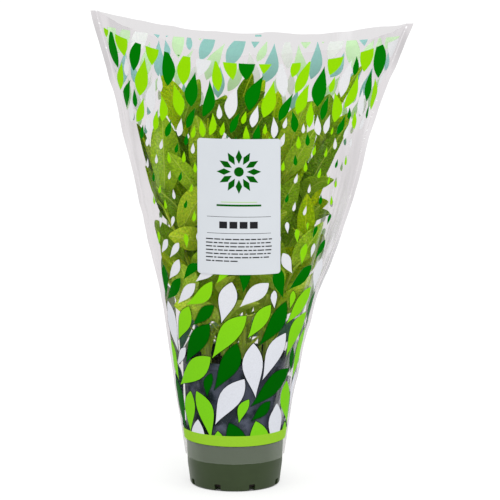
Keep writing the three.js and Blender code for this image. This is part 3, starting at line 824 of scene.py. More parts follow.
def scatter_print(seed):
    """Leaf outlines that keep clear of each other, each with its ink.

    A raster holds how far each place is from the nearest edge or leaf. The three zones take
    turns, so that the small print in the middle doesn't take all the tries.
    """
    rng = np.random.default_rng(seed)
    heights = np.arange(BAND_TOP - 14, PRINT_TOP + 26)
    places = np.arange(-MOUTH_SHEET_WIDTH / 2, MOUTH_SHEET_WIDTH / 2)
    room = (sheet_width(heights) / 2 - read_table(BARE_EDGES, heights))[:, None] - np.abs(places)
    lengths = read_table(PRINT_SIZES, heights)
    gaps = read_table(PRINT_GAPS, heights)
    below = heights < SMALL_PRINT[0]
    above = heights > SMALL_PRINT[1]
    zones = [below, ~below & ~above, above]
    outlines = []
    printed = []
    for size in SIZE_PASSES:
        wanted = (FREE_RADIUS_SHARE * size * lengths + gaps)[:, None]
        free = room > wanted
        for k in range(TRIES_A_PASS):
            zone = k % 3
            cells = np.flatnonzero(free & zones[zone][:, None])
            if not len(cells) or (zone == 1 and size < 0.8):
                continue
            row, column = divmod(int(cells[rng.integers(len(cells))]), len(places))
            length = lengths[row] * size * rng.uniform(0.9, 1.08)
            small = float(smooth_step(length, 26, 9))
            hangs = heights[row] > TURN_OVER_HEIGHT
            width = length * mix(rng.uniform(0.35, 0.44) - 0.05 * hangs, 0.4, small)
            bow = rng.uniform(-0.08, 0.08) * (1 - small)
            lop = rng.uniform(-0.3, 0.3) * (1 - small)
            shape = printed_leaf(length, width, bow, lop, small)
            half = len(shape) // 2
            pairs = np.stack([shape[1:half], shape[-1:-half:-1]])
            reach = np.hypot(*(pairs[0] - pairs[1]).T) / 2
            leans = rng.uniform(-0.55, 0.95, LEANS_A_TRY) * mix(1 - 0.5 * hangs, 0.25, small)
            leans += math.pi * hangs
            cos, sin = np.cos(leans), np.sin(leans)
            turns = np.moveaxis(np.array([[cos, -sin], [sin, cos]]), -1, 0)
            place = np.array([places[column], heights[row]])
            spines = pairs.mean(axis=0) @ turns + place
            rows = np.rint(spines[..., 1] - heights[0]).astype(int)
            columns = np.rint(spines[..., 0] - places[0]).astype(int)
            rows = np.clip(rows, 0, len(heights) - 1)
            columns = np.clip(columns, 0, len(places) - 1)
            slack = (room[rows, columns] - reach - gaps[row]).min(axis=1)
            if slack.max() < 0:
                free[max(row - 1, 0) : row + 2, max(column - 1, 0) : column + 2] = False
                continue
            best = int(np.argmin(np.where(slack < 0, 99, slack)))
            near_rows = slice(max(row - FREE_REACH, 0), row + FREE_REACH + 1)
            near_columns = slice(max(column - FREE_REACH, 0), column + FREE_REACH + 1)
            window = room[near_rows, near_columns]
            for (u, v), radius in zip(spines[best], reach):
                away = np.hypot(heights[near_rows, None] - v, places[near_columns] - u) - radius
                np.minimum(window, away, out=window)
            free[near_rows, near_columns] &= window > wanted[near_rows]
            printed.append((place, length, choose_ink(rng, place, length, printed)))
            outlines.append(shape @ turns[best] + place)
    return outlines, [(WHITE, LIME, GREEN)[ink] for _, _, ink in printed]


# One of the slots is the dark ring of painted shadow round the low printed leaves.
FILM, WELD, INK_SHADOW, BAND, LIME, GREEN, WHITE, LIME_INSIDE, GREEN_INSIDE, WHITE_INSIDE = range(10)
INSIDE_OF = {BAND: LIME_INSIDE, LIME: LIME_INSIDE, GREEN: GREEN_INSIDE, WHITE: WHITE_INSIDE}
INKS = [
    ("ink_band", (0.268, 0.515, 0.028), (0.268, 0.515, 0.028)),
    ("ink_lime", (0.172, 0.525, 0.012), (0.250, 0.590, 0.002)),
    ("ink_green", (0.0003, 0.090, 0.0006), (0.0003, 0.157, 0.001)),
    ("ink_white", (0.61, 0.625, 0.676), (0.655, 0.662, 0.675)),
    ("ink_lime_inside", (0.52, 0.78, 0.42), (0.70, 0.96, 0.60)),
    ("ink_green_inside", (0.22, 0.42, 0.41), (0.36, 0.67, 0.66)),
    ("ink_white_inside", (0.88, 0.89, 0.91), (0.95, 0.95, 0.96)),
]

# What the first shapes of a sheet are. Only the back sheet has a dash.
SHEET, LEFT_WELD, RIGHT_WELD, PRINTED, BANDED, DASH = range(6)


def along_top(share, top):
    return [((s - 0.5) * sheet_width(z), z) for s, z in zip(share, top)]


def sheet_outline(side):
    """The flat sheet with its flanges, going round from the lower left."""
    share = np.linspace(1, 0, 73)
    waver = 2.6 * (WAVES.at(share * 9, 50.0 + side) - 0.5)
    waver += 1.2 * (WAVES.at(share * 31, 54.0 + side) - 0.5)
    mouth = along_top(share, top_edge(share) + waver * smooth_step(share * (1 - share), 0, 0.03))
    left, right, reach = top_edge(0), top_edge(1), flange_edge(HEM_HEIGHT)
    flank = [(-reach, HEM_HEIGHT), (reach, HEM_HEIGHT), (flange_edge(right), right)]
    return flank + mouth + [(-flange_edge(left), left)]


def weld_strip(side):
    """A narrow strip just outside the sheet's edge, where both sheets are pressed together."""
    foot, head = HEM_HEIGHT - 5, 470
    ends = [
        (side * (sheet_width(z) / 2 + reach), z)
        for z, reach in ((foot, 0.2), (foot, 0.8), (head, 1.9), (head, 0.5))
    ]
    return ends[::side]


def print_region():
    """All that is printed: from the band's foot to an upper end that rises to the welds."""
    share = np.linspace(1, 0, 61)
    low = sheet_width(BAND_BOTTOM) / 2
    upper = along_top(share, PRINT_TOP + PRINT_TOP_RISE * (top_edge(share) - MOUTH_HEIGHT))
    return [(-low, BAND_BOTTOM), (low, BAND_BOTTOM)] + upper


def film_sheet(side, seed):
    """One sheet's points, triangles, slots and normals, with the inks' inner faces."""
    low, high = sheet_width(BAND_BOTTOM) / 2, sheet_width(BAND_TOP) / 2
    band = [(-low, BAND_BOTTOM), (low, BAND_BOTTOM), (high, BAND_TOP), (-high, BAND_TOP)]
    shapes = [sheet_outline(side), weld_strip(-1), weld_strip(1), print_region(), band]
    if side > 0:
        shapes.append(box_shape(3, MOUTH_HEIGHT - 3.6, 6, 1.9))
    outlines, inks = scatter_print(seed)
    # Dark rings of painted shadow round the low leaves.
    rims = [outset(o, INK_SHADOW_WIDTH) for o in outlines if o[:, 1].mean() < INK_SHADOWS_BELOW]
    first_ink_shadow = len(shapes)
    first_leaf = first_ink_shadow + len(rims)

    def slot_of(inside):
        if inside & {LEFT_WELD, RIGHT_WELD}:
            return WELD
        if BANDED in inside:
            return BAND
        if side > 0 and DASH in inside:
            return GREEN
        if PRINTED in inside and max(inside) >= first_leaf:
            return inks[max(inside) - first_leaf]
        return INK_SHADOW if PRINTED in inside and max(inside) >= first_ink_shadow else FILM

    share, level = np.meshgrid(np.linspace(0.008, 0.992, 60), np.linspace(0.006, 0.994, 118))
    z = mix(HEM_HEIGHT, top_edge(share), level)
    grid = ((share - 0.5) * sheet_width(z), z)
    flat, triangles, origins = cut_sheet(shapes + rims + outlines, *grid)
    slots = np.array([slot_of(inside) for inside in origins])
    if side > 0:
        triangles = triangles[:, ::-1]
    across, z = flat.T
    points = film_point(across, z, side)
    inner = film_point(across, z, side, -INK_DEPTH)
    normals = outward(film_point, across, z, side, 1.0)
    inked = slots >= BAND
    return (
        np.concatenate([points, inner]),
        np.concatenate([triangles, triangles[inked][:, ::-1] + len(points)]),
        np.concatenate([slots, [INSIDE_OF[s] for s in slots[inked]]]),
        np.concatenate([normals, -normals]),
    )


def make_sleeve():
    front, back = film_sheet(-1, 24), film_sheet(1, 23)
    points, faces, slots, normals = map(np.concatenate, zip(front, back))
    faces[len(front[1]) :] += len(front[0])
    used, index = np.unique(faces, return_inverse=True)
    faces = index.reshape(faces.shape).tolist()
    materials = [
        film_material("film", FILM_TINT, 0.12),
        weld_material(),
        # The painted shadow round the low printed leaves.
        film_material("film_painted_ink_shadow", (0.26, 0.27, 0.26), 0.0),
    ]
    materials += [ink_material(*ink) for ink in INKS]
    piece = make_object("sleeve_film", points[used], faces, materials, slots)
    piece.data.normals_split_custom_set_from_vertices(normals[used].tolist())
    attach(piece, "root")
    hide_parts("sleeve")


# The label. Its marks are generic, and each has the slot of its ink.

PAPER, GREEN_MARK, BLACK_MARK, PALE_MARK = range(4)


def label_surface(x, z):
    """The film's outer face in front, as a y."""
    half_width, power, middle, depth = section_at(z)
    share = (x - middle) / half_width
    return -(depth * (1 - share * share) ** power + FILM_WALL)


def label_outline():
    far_x, far_z = LABEL_WIDTH - LABEL_CORNER, LABEL_HEIGHT - LABEL_CORNER
    corners = [
        ((far_x, LABEL_CORNER), -90), ((far_x, far_z), 0),
        ((LABEL_CORNER, far_z), 90), ((LABEL_CORNER, LABEL_CORNER), 180),
    ]
    return [
        on_circle(middle, LABEL_CORNER, math.radians(start + 15 * k))
        for middle, start in corners for k in range(7)
    ]


def label_marks():
    """A rosette, rules, a row of blocks and rows of plain bars."""
    hub = np.array([LABEL_WIDTH / 2, ROSETTE_HEIGHT])
    marks = []
    for angle in FULL_TURN * np.arange(12) / 12:
        out = np.array([math.sin(angle), math.cos(angle)])
        aside = np.array([out[1], -out[0]])
        middle = hub + 14 * out
        lozenge = [hub + 7.5 * out, middle + 3.1 * aside, hub + 21 * out, middle - 3.1 * aside]
        marks.append((lozenge, GREEN_MARK))
    disc = [on_circle(hub, ROSETTE_HUB, a) for a in FULL_TURN * np.arange(24) / 24]
    boxes = [
        ((22, 69.5, 34, 0.8), PALE_MARK), ((18, 65.8, 42, 1.9), GREEN_MARK),
        ((9, 55.5, 60, 0.45), BLACK_MARK),
    ]
    boxes += [((20.5 + 9.6 * k, 44.6, 7.4, 6.6), BLACK_MARK) for k in range(4)]
    boxes.append(((9, 39.6, 60, 0.45), BLACK_MARK))
    rng = np.random.default_rng(41)
    for row in range(BAR_ROWS):
        left = 8.0
        right = 70 if row < BAR_ROWS - 1 else 38
        while left < right - 3:
            width = min(rng.uniform(1.8, 7), right - left)
            boxes.append(((left, 33.6 - BAR_PITCH * row, width, BAR_HEIGHT), BLACK_MARK))
            left += width + 1.0
    return marks + [(disc, GREEN_MARK)] + [(box_shape(*box), ink) for box, ink in boxes]


def make_label():
    shapes, inks = zip(*label_marks())
    grid = np.meshgrid(
        np.arange(1.5, LABEL_WIDTH, LABEL_GRID), np.arange(1.5, LABEL_HEIGHT, LABEL_GRID)
    )
    flat, triangles, origins = cut_sheet([label_outline(), *shapes], *grid)
    x, z = (flat + (LABEL_LEFT, LABEL_BOTTOM)).T
    y = label_surface(x, z)
    front = np.stack([x, y - LABEL_FRONT, z], axis=1)
    back = np.stack([x, y - LABEL_BACK, z], axis=1)
    under = len(flat)
    edges = dict.fromkeys(edge for a, b, c in triangles for edge in ((a, b), (b, c), (c, a)))
    rims = [[b, a, a + under, b + under] for a, b in edges if (b, a) not in edges]
    faces = triangles.tolist() + (triangles[:, ::-1] + under).tolist() + rims
    slots = [(PAPER, *inks)[max(inside)] for inside in origins]
    slots += [PAPER] * (len(faces) - len(slots))
    materials = [
        paper_material("label_paper", (0.53, 0.555, 0.59), (0.57, 0.60, 0.63), 0.3),
        paper_material("label_ink_green", (0.001, 0.070, 0.001), (0.001, 0.095, 0.001), 0.02),
        paper_material("label_ink_black", (0.012, 0.012, 0.014), (0.02, 0.02, 0.023), 0.02),
        paper_material("label_ink_pale", (0.34, 0.52, 0.20), (0.38, 0.56, 0.24), 0.05),
    ]
    points = np.concatenate([front, back])
    piece = make_object("front_label", points, faces, materials, slots, sharp=50)
    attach(piece, "root")
    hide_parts("label")


# The pot

BAND_FOOT = RIM_HEIGHT - RIM_BAND


def pot_radius(z):
    heights = (FOOT_ROUNDING, KNEE_HEIGHT, BAND_FOOT)
    return float(np.interp(z, heights, (FOOT_RADIUS, KNEE_RADIUS, RIM_RADIUS - RIM_OVERHANG)))


def pot_profile():
    """From the middle of the underside, up the outside and down the inside to the middle."""
    foot = (FOOT_RADIUS - FOOT_ROUNDING, FOOT_ROUNDING)
    roll = (RIM_RADIUS - RIM_ROLL, RIM_HEIGHT - RIM_ROLL)
    knee_ring = (KNEE_HEIGHT, KNEE_HEIGHT + 2)
    heights = (10, KNEE_HEIGHT - 2, *knee_ring, 40, 60, 90, BAND_FOOT - 0.6)
    profile = [(0, 0.5), (30, 0.5), (33, 0)]
    profile += [on_circle(foot, FOOT_ROUNDING, math.pi / 2 * (k / 8 - 1)) for k in range(9)]
    profile += [(pot_radius(z) - 0.03 * (z in knee_ring), z) for z in heights]
    profile += [(RIM_RADIUS - RIM_OVERHANG + 0.2, BAND_FOOT), (RIM_RADIUS - 0.3, BAND_FOOT + 0.7)]
    profile += [on_circle(roll, RIM_ROLL, math.pi * k / 6) for k in range(7)]
    return profile + [
        (RIM_RADIUS - RIM_OVERHANG - POT_WALL, BAND_FOOT + 2),
        (KNEE_RADIUS - POT_WALL, KNEE_HEIGHT),
        (FOOT_RADIUS - POT_WALL, POT_FLOOR + 3),
        (FOOT_RADIUS - POT_WALL - 3, POT_FLOOR),
        (0, POT_FLOOR),
    ]


def revolve(profile, segments):
    """Points and faces of a profile turned round the z axis, where its two ends lie."""
    turns = FULL_TURN * np.arange(segments) / segments
    points = [(0, 0, profile[0][1])]
    for radius, z in profile[1:-1]:
        points.extend((radius * math.cos(a), radius * math.sin(a), z) for a in turns)
    points.append((0, 0, profile[-1][1]))
    index = np.arange(1, len(points) - 1).reshape(-1, segments)
    after = np.roll(index, -1, axis=1)
    underside = [[0, b, a] for a, b in zip(index[0], after[0])]
    top = [[len(points) - 1, a, b] for a, b in zip(index[-1], after[-1])]
    return np.array(points, float), underside + ring_faces(index) + top


def notch_cutter(turn):
    """A block with a rounded head, laid through the foot's edge."""
    half = NOTCH_WIDTH / 2
    corner = (half - NOTCH_ROUNDING, NOTCH_HEIGHT - NOTCH_ROUNDING)
    head = [on_circle(corner, NOTCH_ROUNDING, a) for a in np.linspace(0, math.pi / 2, 5)]
    outline = [(half, -4.0), *head, *[(-u, v) for u, v in reversed(head)], (-half, -4.0)]
    cos, sin = math.cos(turn), math.sin(turn)
    points = [
        (u * cos - reach * sin, u * sin + reach * cos, v)
        for reach in (-FOOT_RADIUS - 1 - NOTCH_DEPTH, -FOOT_RADIUS - 1 + NOTCH_DEPTH)
        for u, v in outline
    ]
    size = len(outline)
    faces = [list(range(size)), list(range(2 * size - 1, size - 1, -1))]
    faces += [[(k + 1) % size, k, k + size, (k + 1) % size + size] for k in range(size)]
    return np.array(points), faces


def make_pot():
    material = pot_material()
    points, faces = revolve(pot_profile(), POT_SEGMENTS)
    piece = make_object("plastic_pot", points, faces, [material])
    cutters = Pile()
    for i in range(NOTCH_COUNT):
        block, sides = notch_cutter((i + 0.5) / NOTCH_COUNT * FULL_TURN)
        cutters.add(block, sides, [0] * len(sides))
    cutter = cutters.build("notch_cutter", [material])
    cut = piece.modifiers.new("notches", "BOOLEAN")
    cut.operation = "DIFFERENCE"
    cut.solver = "EXACT"
    cut.object = cutter
    evaluated = piece.evaluated_get(bpy.context.evaluated_depsgraph_get())
    shaped = bpy.data.meshes.new_from_object(evaluated)
    piece.modifiers.clear()
    piece.data = shaped
    bpy.data.objects.remove(cutter)
    shaped.shade_smooth()
    shaped.set_sharp_from_angle(angle=math.radians(40))
    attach(piece, "root")
    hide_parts("pot")


# The soil

def soil_height(x, y):
    broad = np.sin(0.23 * x + 1.1) * np.cos(0.19 * y + 0.4)
    fine = 0.7 * np.sin(0.37 * x - 0.33 * y)
    mound = SOIL_MOUND * (1 - (x * x + y * y) / RIM_RADIUS**2)
    return SOIL_TOP + mound + SOIL_LUMP * (broad + fine)


def make_soil():
    crumbly = Folds(17)
    clear = POT_WALL + GAP
    edge = pot_radius(SOIL_TOP) - clear - 0.25
    profile = [
        (0.0, POT_FLOOR + GAP),
        (FOOT_RADIUS - clear - 3.6, POT_FLOOR + GAP),
        (FOOT_RADIUS - clear - 0.6, POT_FLOOR + GAP + 3.4),
        (pot_radius(KNEE_HEIGHT) - clear - 0.25, KNEE_HEIGHT),
        (edge, SOIL_TOP - 3),
    ]
    profile += [(edge * (1 - k / SOIL_RINGS), SOIL_TOP) for k in range(SOIL_RINGS + 1)]
    points, faces = revolve(profile, SOIL_SEGMENTS)
    upper = points[:, 2] >= SOIL_TOP
    x, y = points[upper, :2].T
    coarse = 1.6 * crumbly.crease(x / 3.1 + 30, y / 3.1 + 30)
    points[upper, 2] = soil_height(x, y) + coarse + 0.9 * crumbly.at(x / 1.1 + 9, y / 1.1) - 1.2
    material = soil_material()
    piece = make_object("peat", points, faces, [material])
    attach(piece, "root")
    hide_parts("soil")
    make_crumbs(edge - 2, material)


def make_crumbs(reach, material):
    """Loose crumbs of peat on top, each a lumpy little stone with twelve corners."""
    rng = np.random.default_rng(8)
    golden = (1 + math.sqrt(5)) / 2
    ends = [(s, t * golden) for s in (-1, 1) for t in (-1, 1)]
    ball = [(s, t, 0) for s, t in ends] + [(0, s, t) for s, t in ends]
    ball = np.array(ball + [(t, 0, s) for s, t in ends], float)
    ball /= np.linalg.norm(ball[0])
    longest_edge = 1.1
    faces = []
    for i, j, k in combinations(range(12), 3):
        a, b, c = ball[[i, j, k]]
        if max(np.linalg.norm(side) for side in (a - b, b - c, c - a)) < longest_edge:
            outwards = np.dot(np.cross(b - a, c - a), a) > 0
            faces.append([i, j, k] if outwards else [i, k, j])
    pile = Pile()
    for _ in range(CRUMBS):
        x, y = on_circle((0, 0), reach * math.sqrt(rng.random()), rng.uniform(0, FULL_TURN))
        size = rng.uniform(0.5, 1.5)
        stretch = rng.uniform(0.6, 1.2, 3)
        lumps = rng.uniform(0.8, 1.15, (12, 1))
        middle = np.array([x, y, float(soil_height(x, y)) + 0.25 * size])
        pile.add(ball * lumps * stretch * size + middle, faces, [0] * len(faces))
    piece = pile.build("peat_crumbs", [material], sharp=30)
    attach(piece, "root")


# The sage: stems by foot and tip, and leaves that keep clear of each other by the frame's rule

STEMS = [
    ((-24, -12), (-66, -20, 268)),
    ((-12, 22), (-50, 26, 338)),
    ((-10, -28), (-30, -36, 306)),
    ((-3, 2), (2, 4, 352)),
    ((9, -29), (10, -36, 262)),
    ((12, 27), (34, 32, 322)),
    ((23, -14), (46, -28, 300)),
    ((28, 10), (84, 8, 318)),
    ((-30, 8), (-84, 12, 296)),
    ((-27, -26), (-58, -42, 222)),
    ((30, -24), (66, -38, 234)),
]

# Leaves that show in front or reach the sleeve's edges: stem, place on it, tip, width, droop, roll
CHOSEN_LEAVES = [
    (7, 0.62, (106, -8, 348), 22, 0.35, 0.3),
    (6, 0.55, (60, -44, 306), 28, 0.5, 0.2),
    (0, 0.7, (-99, -6, 338), 20, 0.9, -0.5),
    (0, 1, (-68, -40, 364), 31, 0.35, -0.1),
    (2, 0.85, (-36, -48, 364), 28, 0.4, 0.15),
    (0, 0.5, (-76, -34, 292), 22, 1.3, 0.3),
    (3, 1, (16, 10, 394), 17, 0.3, 0.3),
    (7, 0.95, (128, 26, 404), 9, 0.8, 0.4),
    (5, 1, (84, 16, 366), 19, 0.5, -0.3),
    (7, 0.5, (98, -12, 262), 21, 1.6, 0.4),
    (1, 1, (-34, 12, 388), 19, 0.3, -0.3),
    (2, 0.6, (-62, -48, 246), 26, 0.7, -0.2),
    (6, 0.95, (66, -40, 374), 26, 0.3, 0.2),
]


def draws_from(seed):
    """Seeded draws by a multiplicative rule on whole numbers, as the frame's source has them."""
    state = seed

    def draw(low, high):
        nonlocal state
        state = state * 48271 % 2147483647
        return mix(low, high, state / 2147483647)

    return draw


def ease(value):
    """The same value up to the free share of 1, and beyond it nearer and nearer to 1."""
    size = np.abs(value)
    spare = 1 - FREE_SHARE
    eased = np.sign(value) * (1 - spare * np.exp((FREE_SHARE - size) / spare))
    return np.where(size < FREE_SHARE, value, eased)


def bend_inside(points):
    """Where a stem or a leaf would pass through the film, it bends along its inside."""
    x, y, z = np.moveaxis(points, -1, 0)
    half_width, power, middle, depth = section_at(z)
    across = WIDEST_SHARE * ease((x - middle) / (WIDEST_SHARE * half_width))
    room = depth * (1 - across * across) ** power - FILM_CLEARANCE
    return np.stack([middle + across * half_width, room * ease(y / room), z], axis=-1)


def stem_course(stem, share):
    foot, tip = STEMS[stem]
    foot = np.array([*foot, STEM_BASE], float)
    tip = np.array(tip, float)
    bend = mix(foot, tip, np.array(STEM_BEND))
    share = np.asarray(share, float)[..., None]
    rest = 1 - share
    return rest * rest * foot + 2 * share * rest * bend + share * share * tip


def stem_points(stem, share):
    return bend_inside(stem_course(stem, share))


def leaf_points(leaf, share, side):
    """Points of the blade's middle surface, by shares of its length and of its half width."""
    share, side = np.broadcast_arrays(np.asarray(share, float), np.asarray(side, float))
    heading, climb, droop = leaf["heading"], leaf["climb"], leaf["droop"]
    low = climb - droop * share
    reach = ROOT_OFFSET + leaf["length"] * (math.sin(climb) - np.sin(low)) / droop
    rise = leaf["length"] * (np.cos(low) - math.cos(climb)) / droop
    out = np.array([math.cos(heading), math.sin(heading), 0])
    level = np.array([-math.sin(heading), math.cos(heading), 0])
    tall = np.array([0, 0, 1])
    spine = leaf["root"] + reach[..., None] * out + rise[..., None] * tall
    up = np.cos(low)[..., None] * tall - np.sin(low)[..., None] * out
    along = np.clip((share - PETIOLE_SHARE) / (1 - PETIOLE_SHARE), 0, 1)
    swell = np.sin(math.pi * along**0.86) ** 0.78
    blade = mix(PETIOLE_HALF_WIDTH, 0.45, along) + (leaf["width"] / 2 - 0.7) * swell
    half = np.where(share <= PETIOLE_SHARE, PETIOLE_HALF_WIDTH, blade)
    turn = leaf["roll"] * np.clip(share / 0.3, 0, 1)
    wave = leaf["wave"] * side * side * np.sin(9 * share + leaf["phase"])
    lift = half * (leaf["fold"] * np.abs(side) + wave)
    sideways = half * side
    along_level = sideways * np.cos(turn) - lift * np.sin(turn)
    along_up = sideways * np.sin(turn) + lift * np.cos(turn)
    return bend_inside(spine + along_level[..., None] * level + along_up[..., None] * up)


PROBE_SHARES = np.arange(3, 15)[:, None] / 14
PROBE_SIDES = np.array([-0.95, -0.5, 0, 0.5, 0.95])
STEM_PROBES = [stem_points(stem, np.arange(61) / 60) for stem in range(len(STEMS))]


def leaf_probes(leaf):
    return leaf_points(leaf, PROBE_SHARES, PROBE_SIDES).reshape(-1, 3)


def comes_within(probes, others, distance):
    low = others.min(axis=0) - distance
    high = others.max(axis=0) + distance
    near = probes[((probes > low) & (probes < high)).all(axis=1)]
    apart = ((near[:, None] - others) ** 2).sum(axis=2)
    return bool((apart < distance * distance).any())


def has_room(leaf, probes, placed):
    x, y, z = probes.T
    outside = np.hypot(x, y) > 0.75 * RIM_RADIUS
    if ((z < STEM_BASE) | ((z < RIM_HEIGHT + 8) & outside)).any():
        return False
    for stem, others in enumerate(STEM_PROBES):
        if stem != leaf["stem"] and comes_within(probes, others, STEM_CLEARANCE):
            return False
    for other, others in placed:
        same = other["stem"] == leaf["stem"]
        if comes_within(probes, others, SIBLING_CLEARANCE if same else LEAF_CLEARANCE):
            return False
    return True


def roll_to_film(heading, climb):
    """The roll at which a blade lies along the front or back of the flattened sleeve."""
    forward = math.sin(climb) * math.sin(heading)
    side = -1 if math.sin(heading) < 0 else 1
    return math.atan2(side * math.cos(heading), abs(forward))


def leaf_to_tip(stem, at, tip, width, droop, roll):
    root = stem_course(stem, at)
    x, y, z = np.array(tip) - root
    level = math.hypot(x, y)
    half = droop / 2
    heading = math.atan2(y, x)
    climb = math.atan2(z, level) + half
    return {
        "stem": stem, "root": root, "width": width, "droop": droop,
        "roll": roll + roll_to_film(heading, climb), "heading": heading, "climb": climb,
        "length": math.hypot(level, z) * half / math.sin(half),
        "fold": 0.22, "wave": 0.08, "phase": tip[0],
    }


def grow_leaves():
    """All leaves by the frame's rule, and the joints where pairs of them grow.

    A joint has its stem, its place there and the heading of its first leaf.
    """
    draw = draws_from(SEED)
    chosen = [leaf_to_tip(*row) for row in CHOSEN_LEAVES]
    placed = [(leaf, leaf_probes(leaf)) for leaf in chosen]
    joints = []
    for stem, (_, tip) in enumerate(STEMS):
        stem_length = tip[2] - SOIL_TOP
        turn = draw(0, math.pi)
        at = FIRST_JOINT / stem_length
        while at < 1.01:
            joints.append((stem, min(at, 1), turn))
            young = at**3
            root = stem_course(stem, min(at, 1))
            for opposite in (0, math.pi):
                for tries in range(LEAF_TRIES):
                    leaf = {
                        "stem": stem, "root": root,
                        "heading": turn + opposite + draw(-0.3, 0.3) * (1 + tries / 5),
                        "climb": mix(1.1, 1.38, young) + draw(-0.25, 0.12),
                        "droop": mix(0.7, 0.35, young) + draw(-0.3, 0.5),
                        "length": mix(94, 62, young) * draw(0.85, 1.12) * (1 - tries / 36),
                        "roll": draw(-0.4, 0.4), "fold": draw(0.1, 0.26),
                        "wave": draw(0.03, 0.12), "phase": draw(0, 6),
                    }
                    leaf["width"] = leaf["length"] * draw(0.31, 0.39)
                    leaf["roll"] += draw(0.4, 1) * roll_to_film(leaf["heading"], leaf["climb"])
                    probes = leaf_probes(leaf)
                    if has_room(leaf, probes, placed):
                        placed.append((leaf, probes))
                        break
            turn += math.pi / 2
            at += mix(32, 25, at) / stem_length
    return [leaf for leaf, _ in placed], joints


# Fine leaves and stems on the same courses

TOP, UNDER, STEM = range(3)


def fine_leaf(leaf):
    """A blade with scalloped edges and puckers between veins: points, faces, slots, flat map."""
    length, width = leaf["length"], leaf["width"]
    rows = int(np.clip(length / ROW_SPACING, 22, 96))
    columns = 2 * int(np.clip(width / COLUMN_SPACING / 2, 3, 8)) + 1
    share = np.linspace(0, 1, rows)[:, None]
    side = np.sin(np.linspace(-1, 1, columns) * 1.25) / math.sin(1.25)
    open_blade = smooth_step(share, PETIOLE_SHARE, PETIOLE_SHARE + 0.1)
    scallop = np.abs(np.sin(math.pi * share * length / TOOTH_SPACING))
    tooth = 1 + TOOTH_DEPTH * open_blade * (scallop - 0.5) * (24 / max(width, 14))
    middle = leaf_points(leaf, share, side * tooth)
    normal = np.cross(np.gradient(middle, axis=0), np.gradient(middle, axis=1))
    normal /= np.linalg.norm(normal, axis=2, keepdims=True)
    rib = side * (width / 2) * np.sin(math.pi * share**0.9) ** 0.8
    slanted = share * length - VEIN_SLANT * np.abs(rib)
    beside = np.abs(slanted / VEIN_SPACING % 1 - 0.5) * VEIN_SPACING
    pucker = smooth_step(beside, 0, 1.6) * smooth_step(np.abs(rib), 0.4, 2.2)
    pucker = pucker * open_blade * (1 - np.abs(side) ** 4) * min(1, width / 20)
    groove = np.exp(-((rib / 0.9) ** 2)) * open_blade * (1 - share)
    relief = 0.42 * pucker - 0.3 * groove
    thick = mix(PETIOLE_THICKNESS, BLADE_THICKNESS, np.clip(share / 0.25, 0, 1))
    thick = thick * (1 - 0.45 * np.abs(side) ** 3)
    top = middle + normal * (relief + thick / 2)[..., None]
    under = middle + normal * (0.8 * relief - thick / 2)[..., None]
    size = rows * columns
    index = np.arange(size).reshape(rows, columns)
    upper = np.stack([index[:-1, :-1], index[1:, :-1], index[1:, 1:], index[:-1, 1:]], axis=-1)
    upper = upper.reshape(-1, 4)
    loop = np.concatenate([index[0, :-1], index[:-1, -1], index[-1, :0:-1], index[:0:-1, 0]])
    after = np.roll(loop, -1)
    rim = np.stack([loop, after, after + size, loop + size], axis=1)
    faces = np.concatenate([upper, upper[:, ::-1] + size, rim])
    slots = [TOP] * len(upper) + [UNDER] * (len(upper) + len(rim))
    flat = np.stack(np.broadcast_arrays(rib, share * length), axis=-1).reshape(-1, 2) * LEAF_MAP
    points = np.concatenate([top.reshape(-1, 3), under.reshape(-1, 3)])
    return points, faces.tolist(), slots, np.concatenate([flat, flat])


def fine_stem(stem, joints):
    """A softly four-sided stem that thickens where its leaves grow."""
    foot, (_, _, tip_z) = STEMS[stem]
    share = np.linspace(0, 1, STEM_ROWS)
    middles = np.concatenate([[(*foot, SOIL_TOP - 6)], stem_points(stem, share)])
    share = np.concatenate([[0], share])
    radius = mix(STEM_FOOT_RADIUS, STEM_TIP_RADIUS, share)
    for joint_stem, at, _ in joints:
        if joint_stem == stem:
            radius = radius + 0.35 * np.exp(-(((share - at) * (tip_z - STEM_BASE) / 1.8) ** 2))
    radius[-1] *= 0.4
    angle = FULL_TURN * np.arange(STEM_CORNERS) / STEM_CORNERS
    ring = radius[:, None] * (1 + 0.09 * np.cos(4 * angle))
    around = np.stack([ring * np.cos(angle), ring * np.sin(angle), 0 * ring], axis=-1)
    points = (middles[:, None] + around).reshape(-1, 3)
    index = np.arange(len(points)).reshape(-1, STEM_CORNERS)
    faces = ring_faces(index) + [index[0, ::-1].tolist(), index[-1].tolist()]
    return points, faces, [STEM] * len(faces)


def young_leaf(draw, stem, at, lengths, heading, climbs, least_droop, roll, folds, waves, widths):
    """A small leaf. The pairs of numbers are ranges that draw picks from, in this order."""
    length = draw(*lengths)
    return {
        "stem": stem, "root": stem_course(stem, at), "length": length,
        "heading": draw(*heading), "climb": draw(*climbs), "droop": draw(least_droop, 0.7),
        "roll": draw(-roll, roll), "fold": draw(*folds), "wave": draw(*waves),
        "phase": draw(0, 6), "width": length * draw(*widths),
    }


def small_leaves(joints):
    """Young leaves in the angles between stem and leaf, a tuft at each tip, and low shoots."""
    draw = np.random.default_rng(29).uniform
    leaves = []
    for stem, at, turn in joints:
        at_tip = at > 0.93
        climbs = (1.1, 1.45) if at_tip else (0.7, 1.2)
        for opposite in (0, math.pi):
            for _ in range(2 if at_tip else 1):
                middle = turn + opposite
                leaves.append(young_leaf(
                    draw, stem, at, (13, 25), (middle - 1.1, middle + 1.1), climbs, 0.15, 0.5,
                    (0.2, 0.45), (0.02, 0.08), (0.26, 0.36),
                ))
    for stem, (_, tip) in enumerate(STEMS):
        for _ in range(LOW_SHOOTS):
            at = draw(2, 42) / (tip[2] - STEM_BASE)
            leaves.append(young_leaf(
                draw, stem, at, (15, 32), (0, FULL_TURN), (1.1, 1.5), 0.1, 0.7,
                (0.15, 0.4), (0.02, 0.1), (0.13, 0.27),
            ))
    return leaves


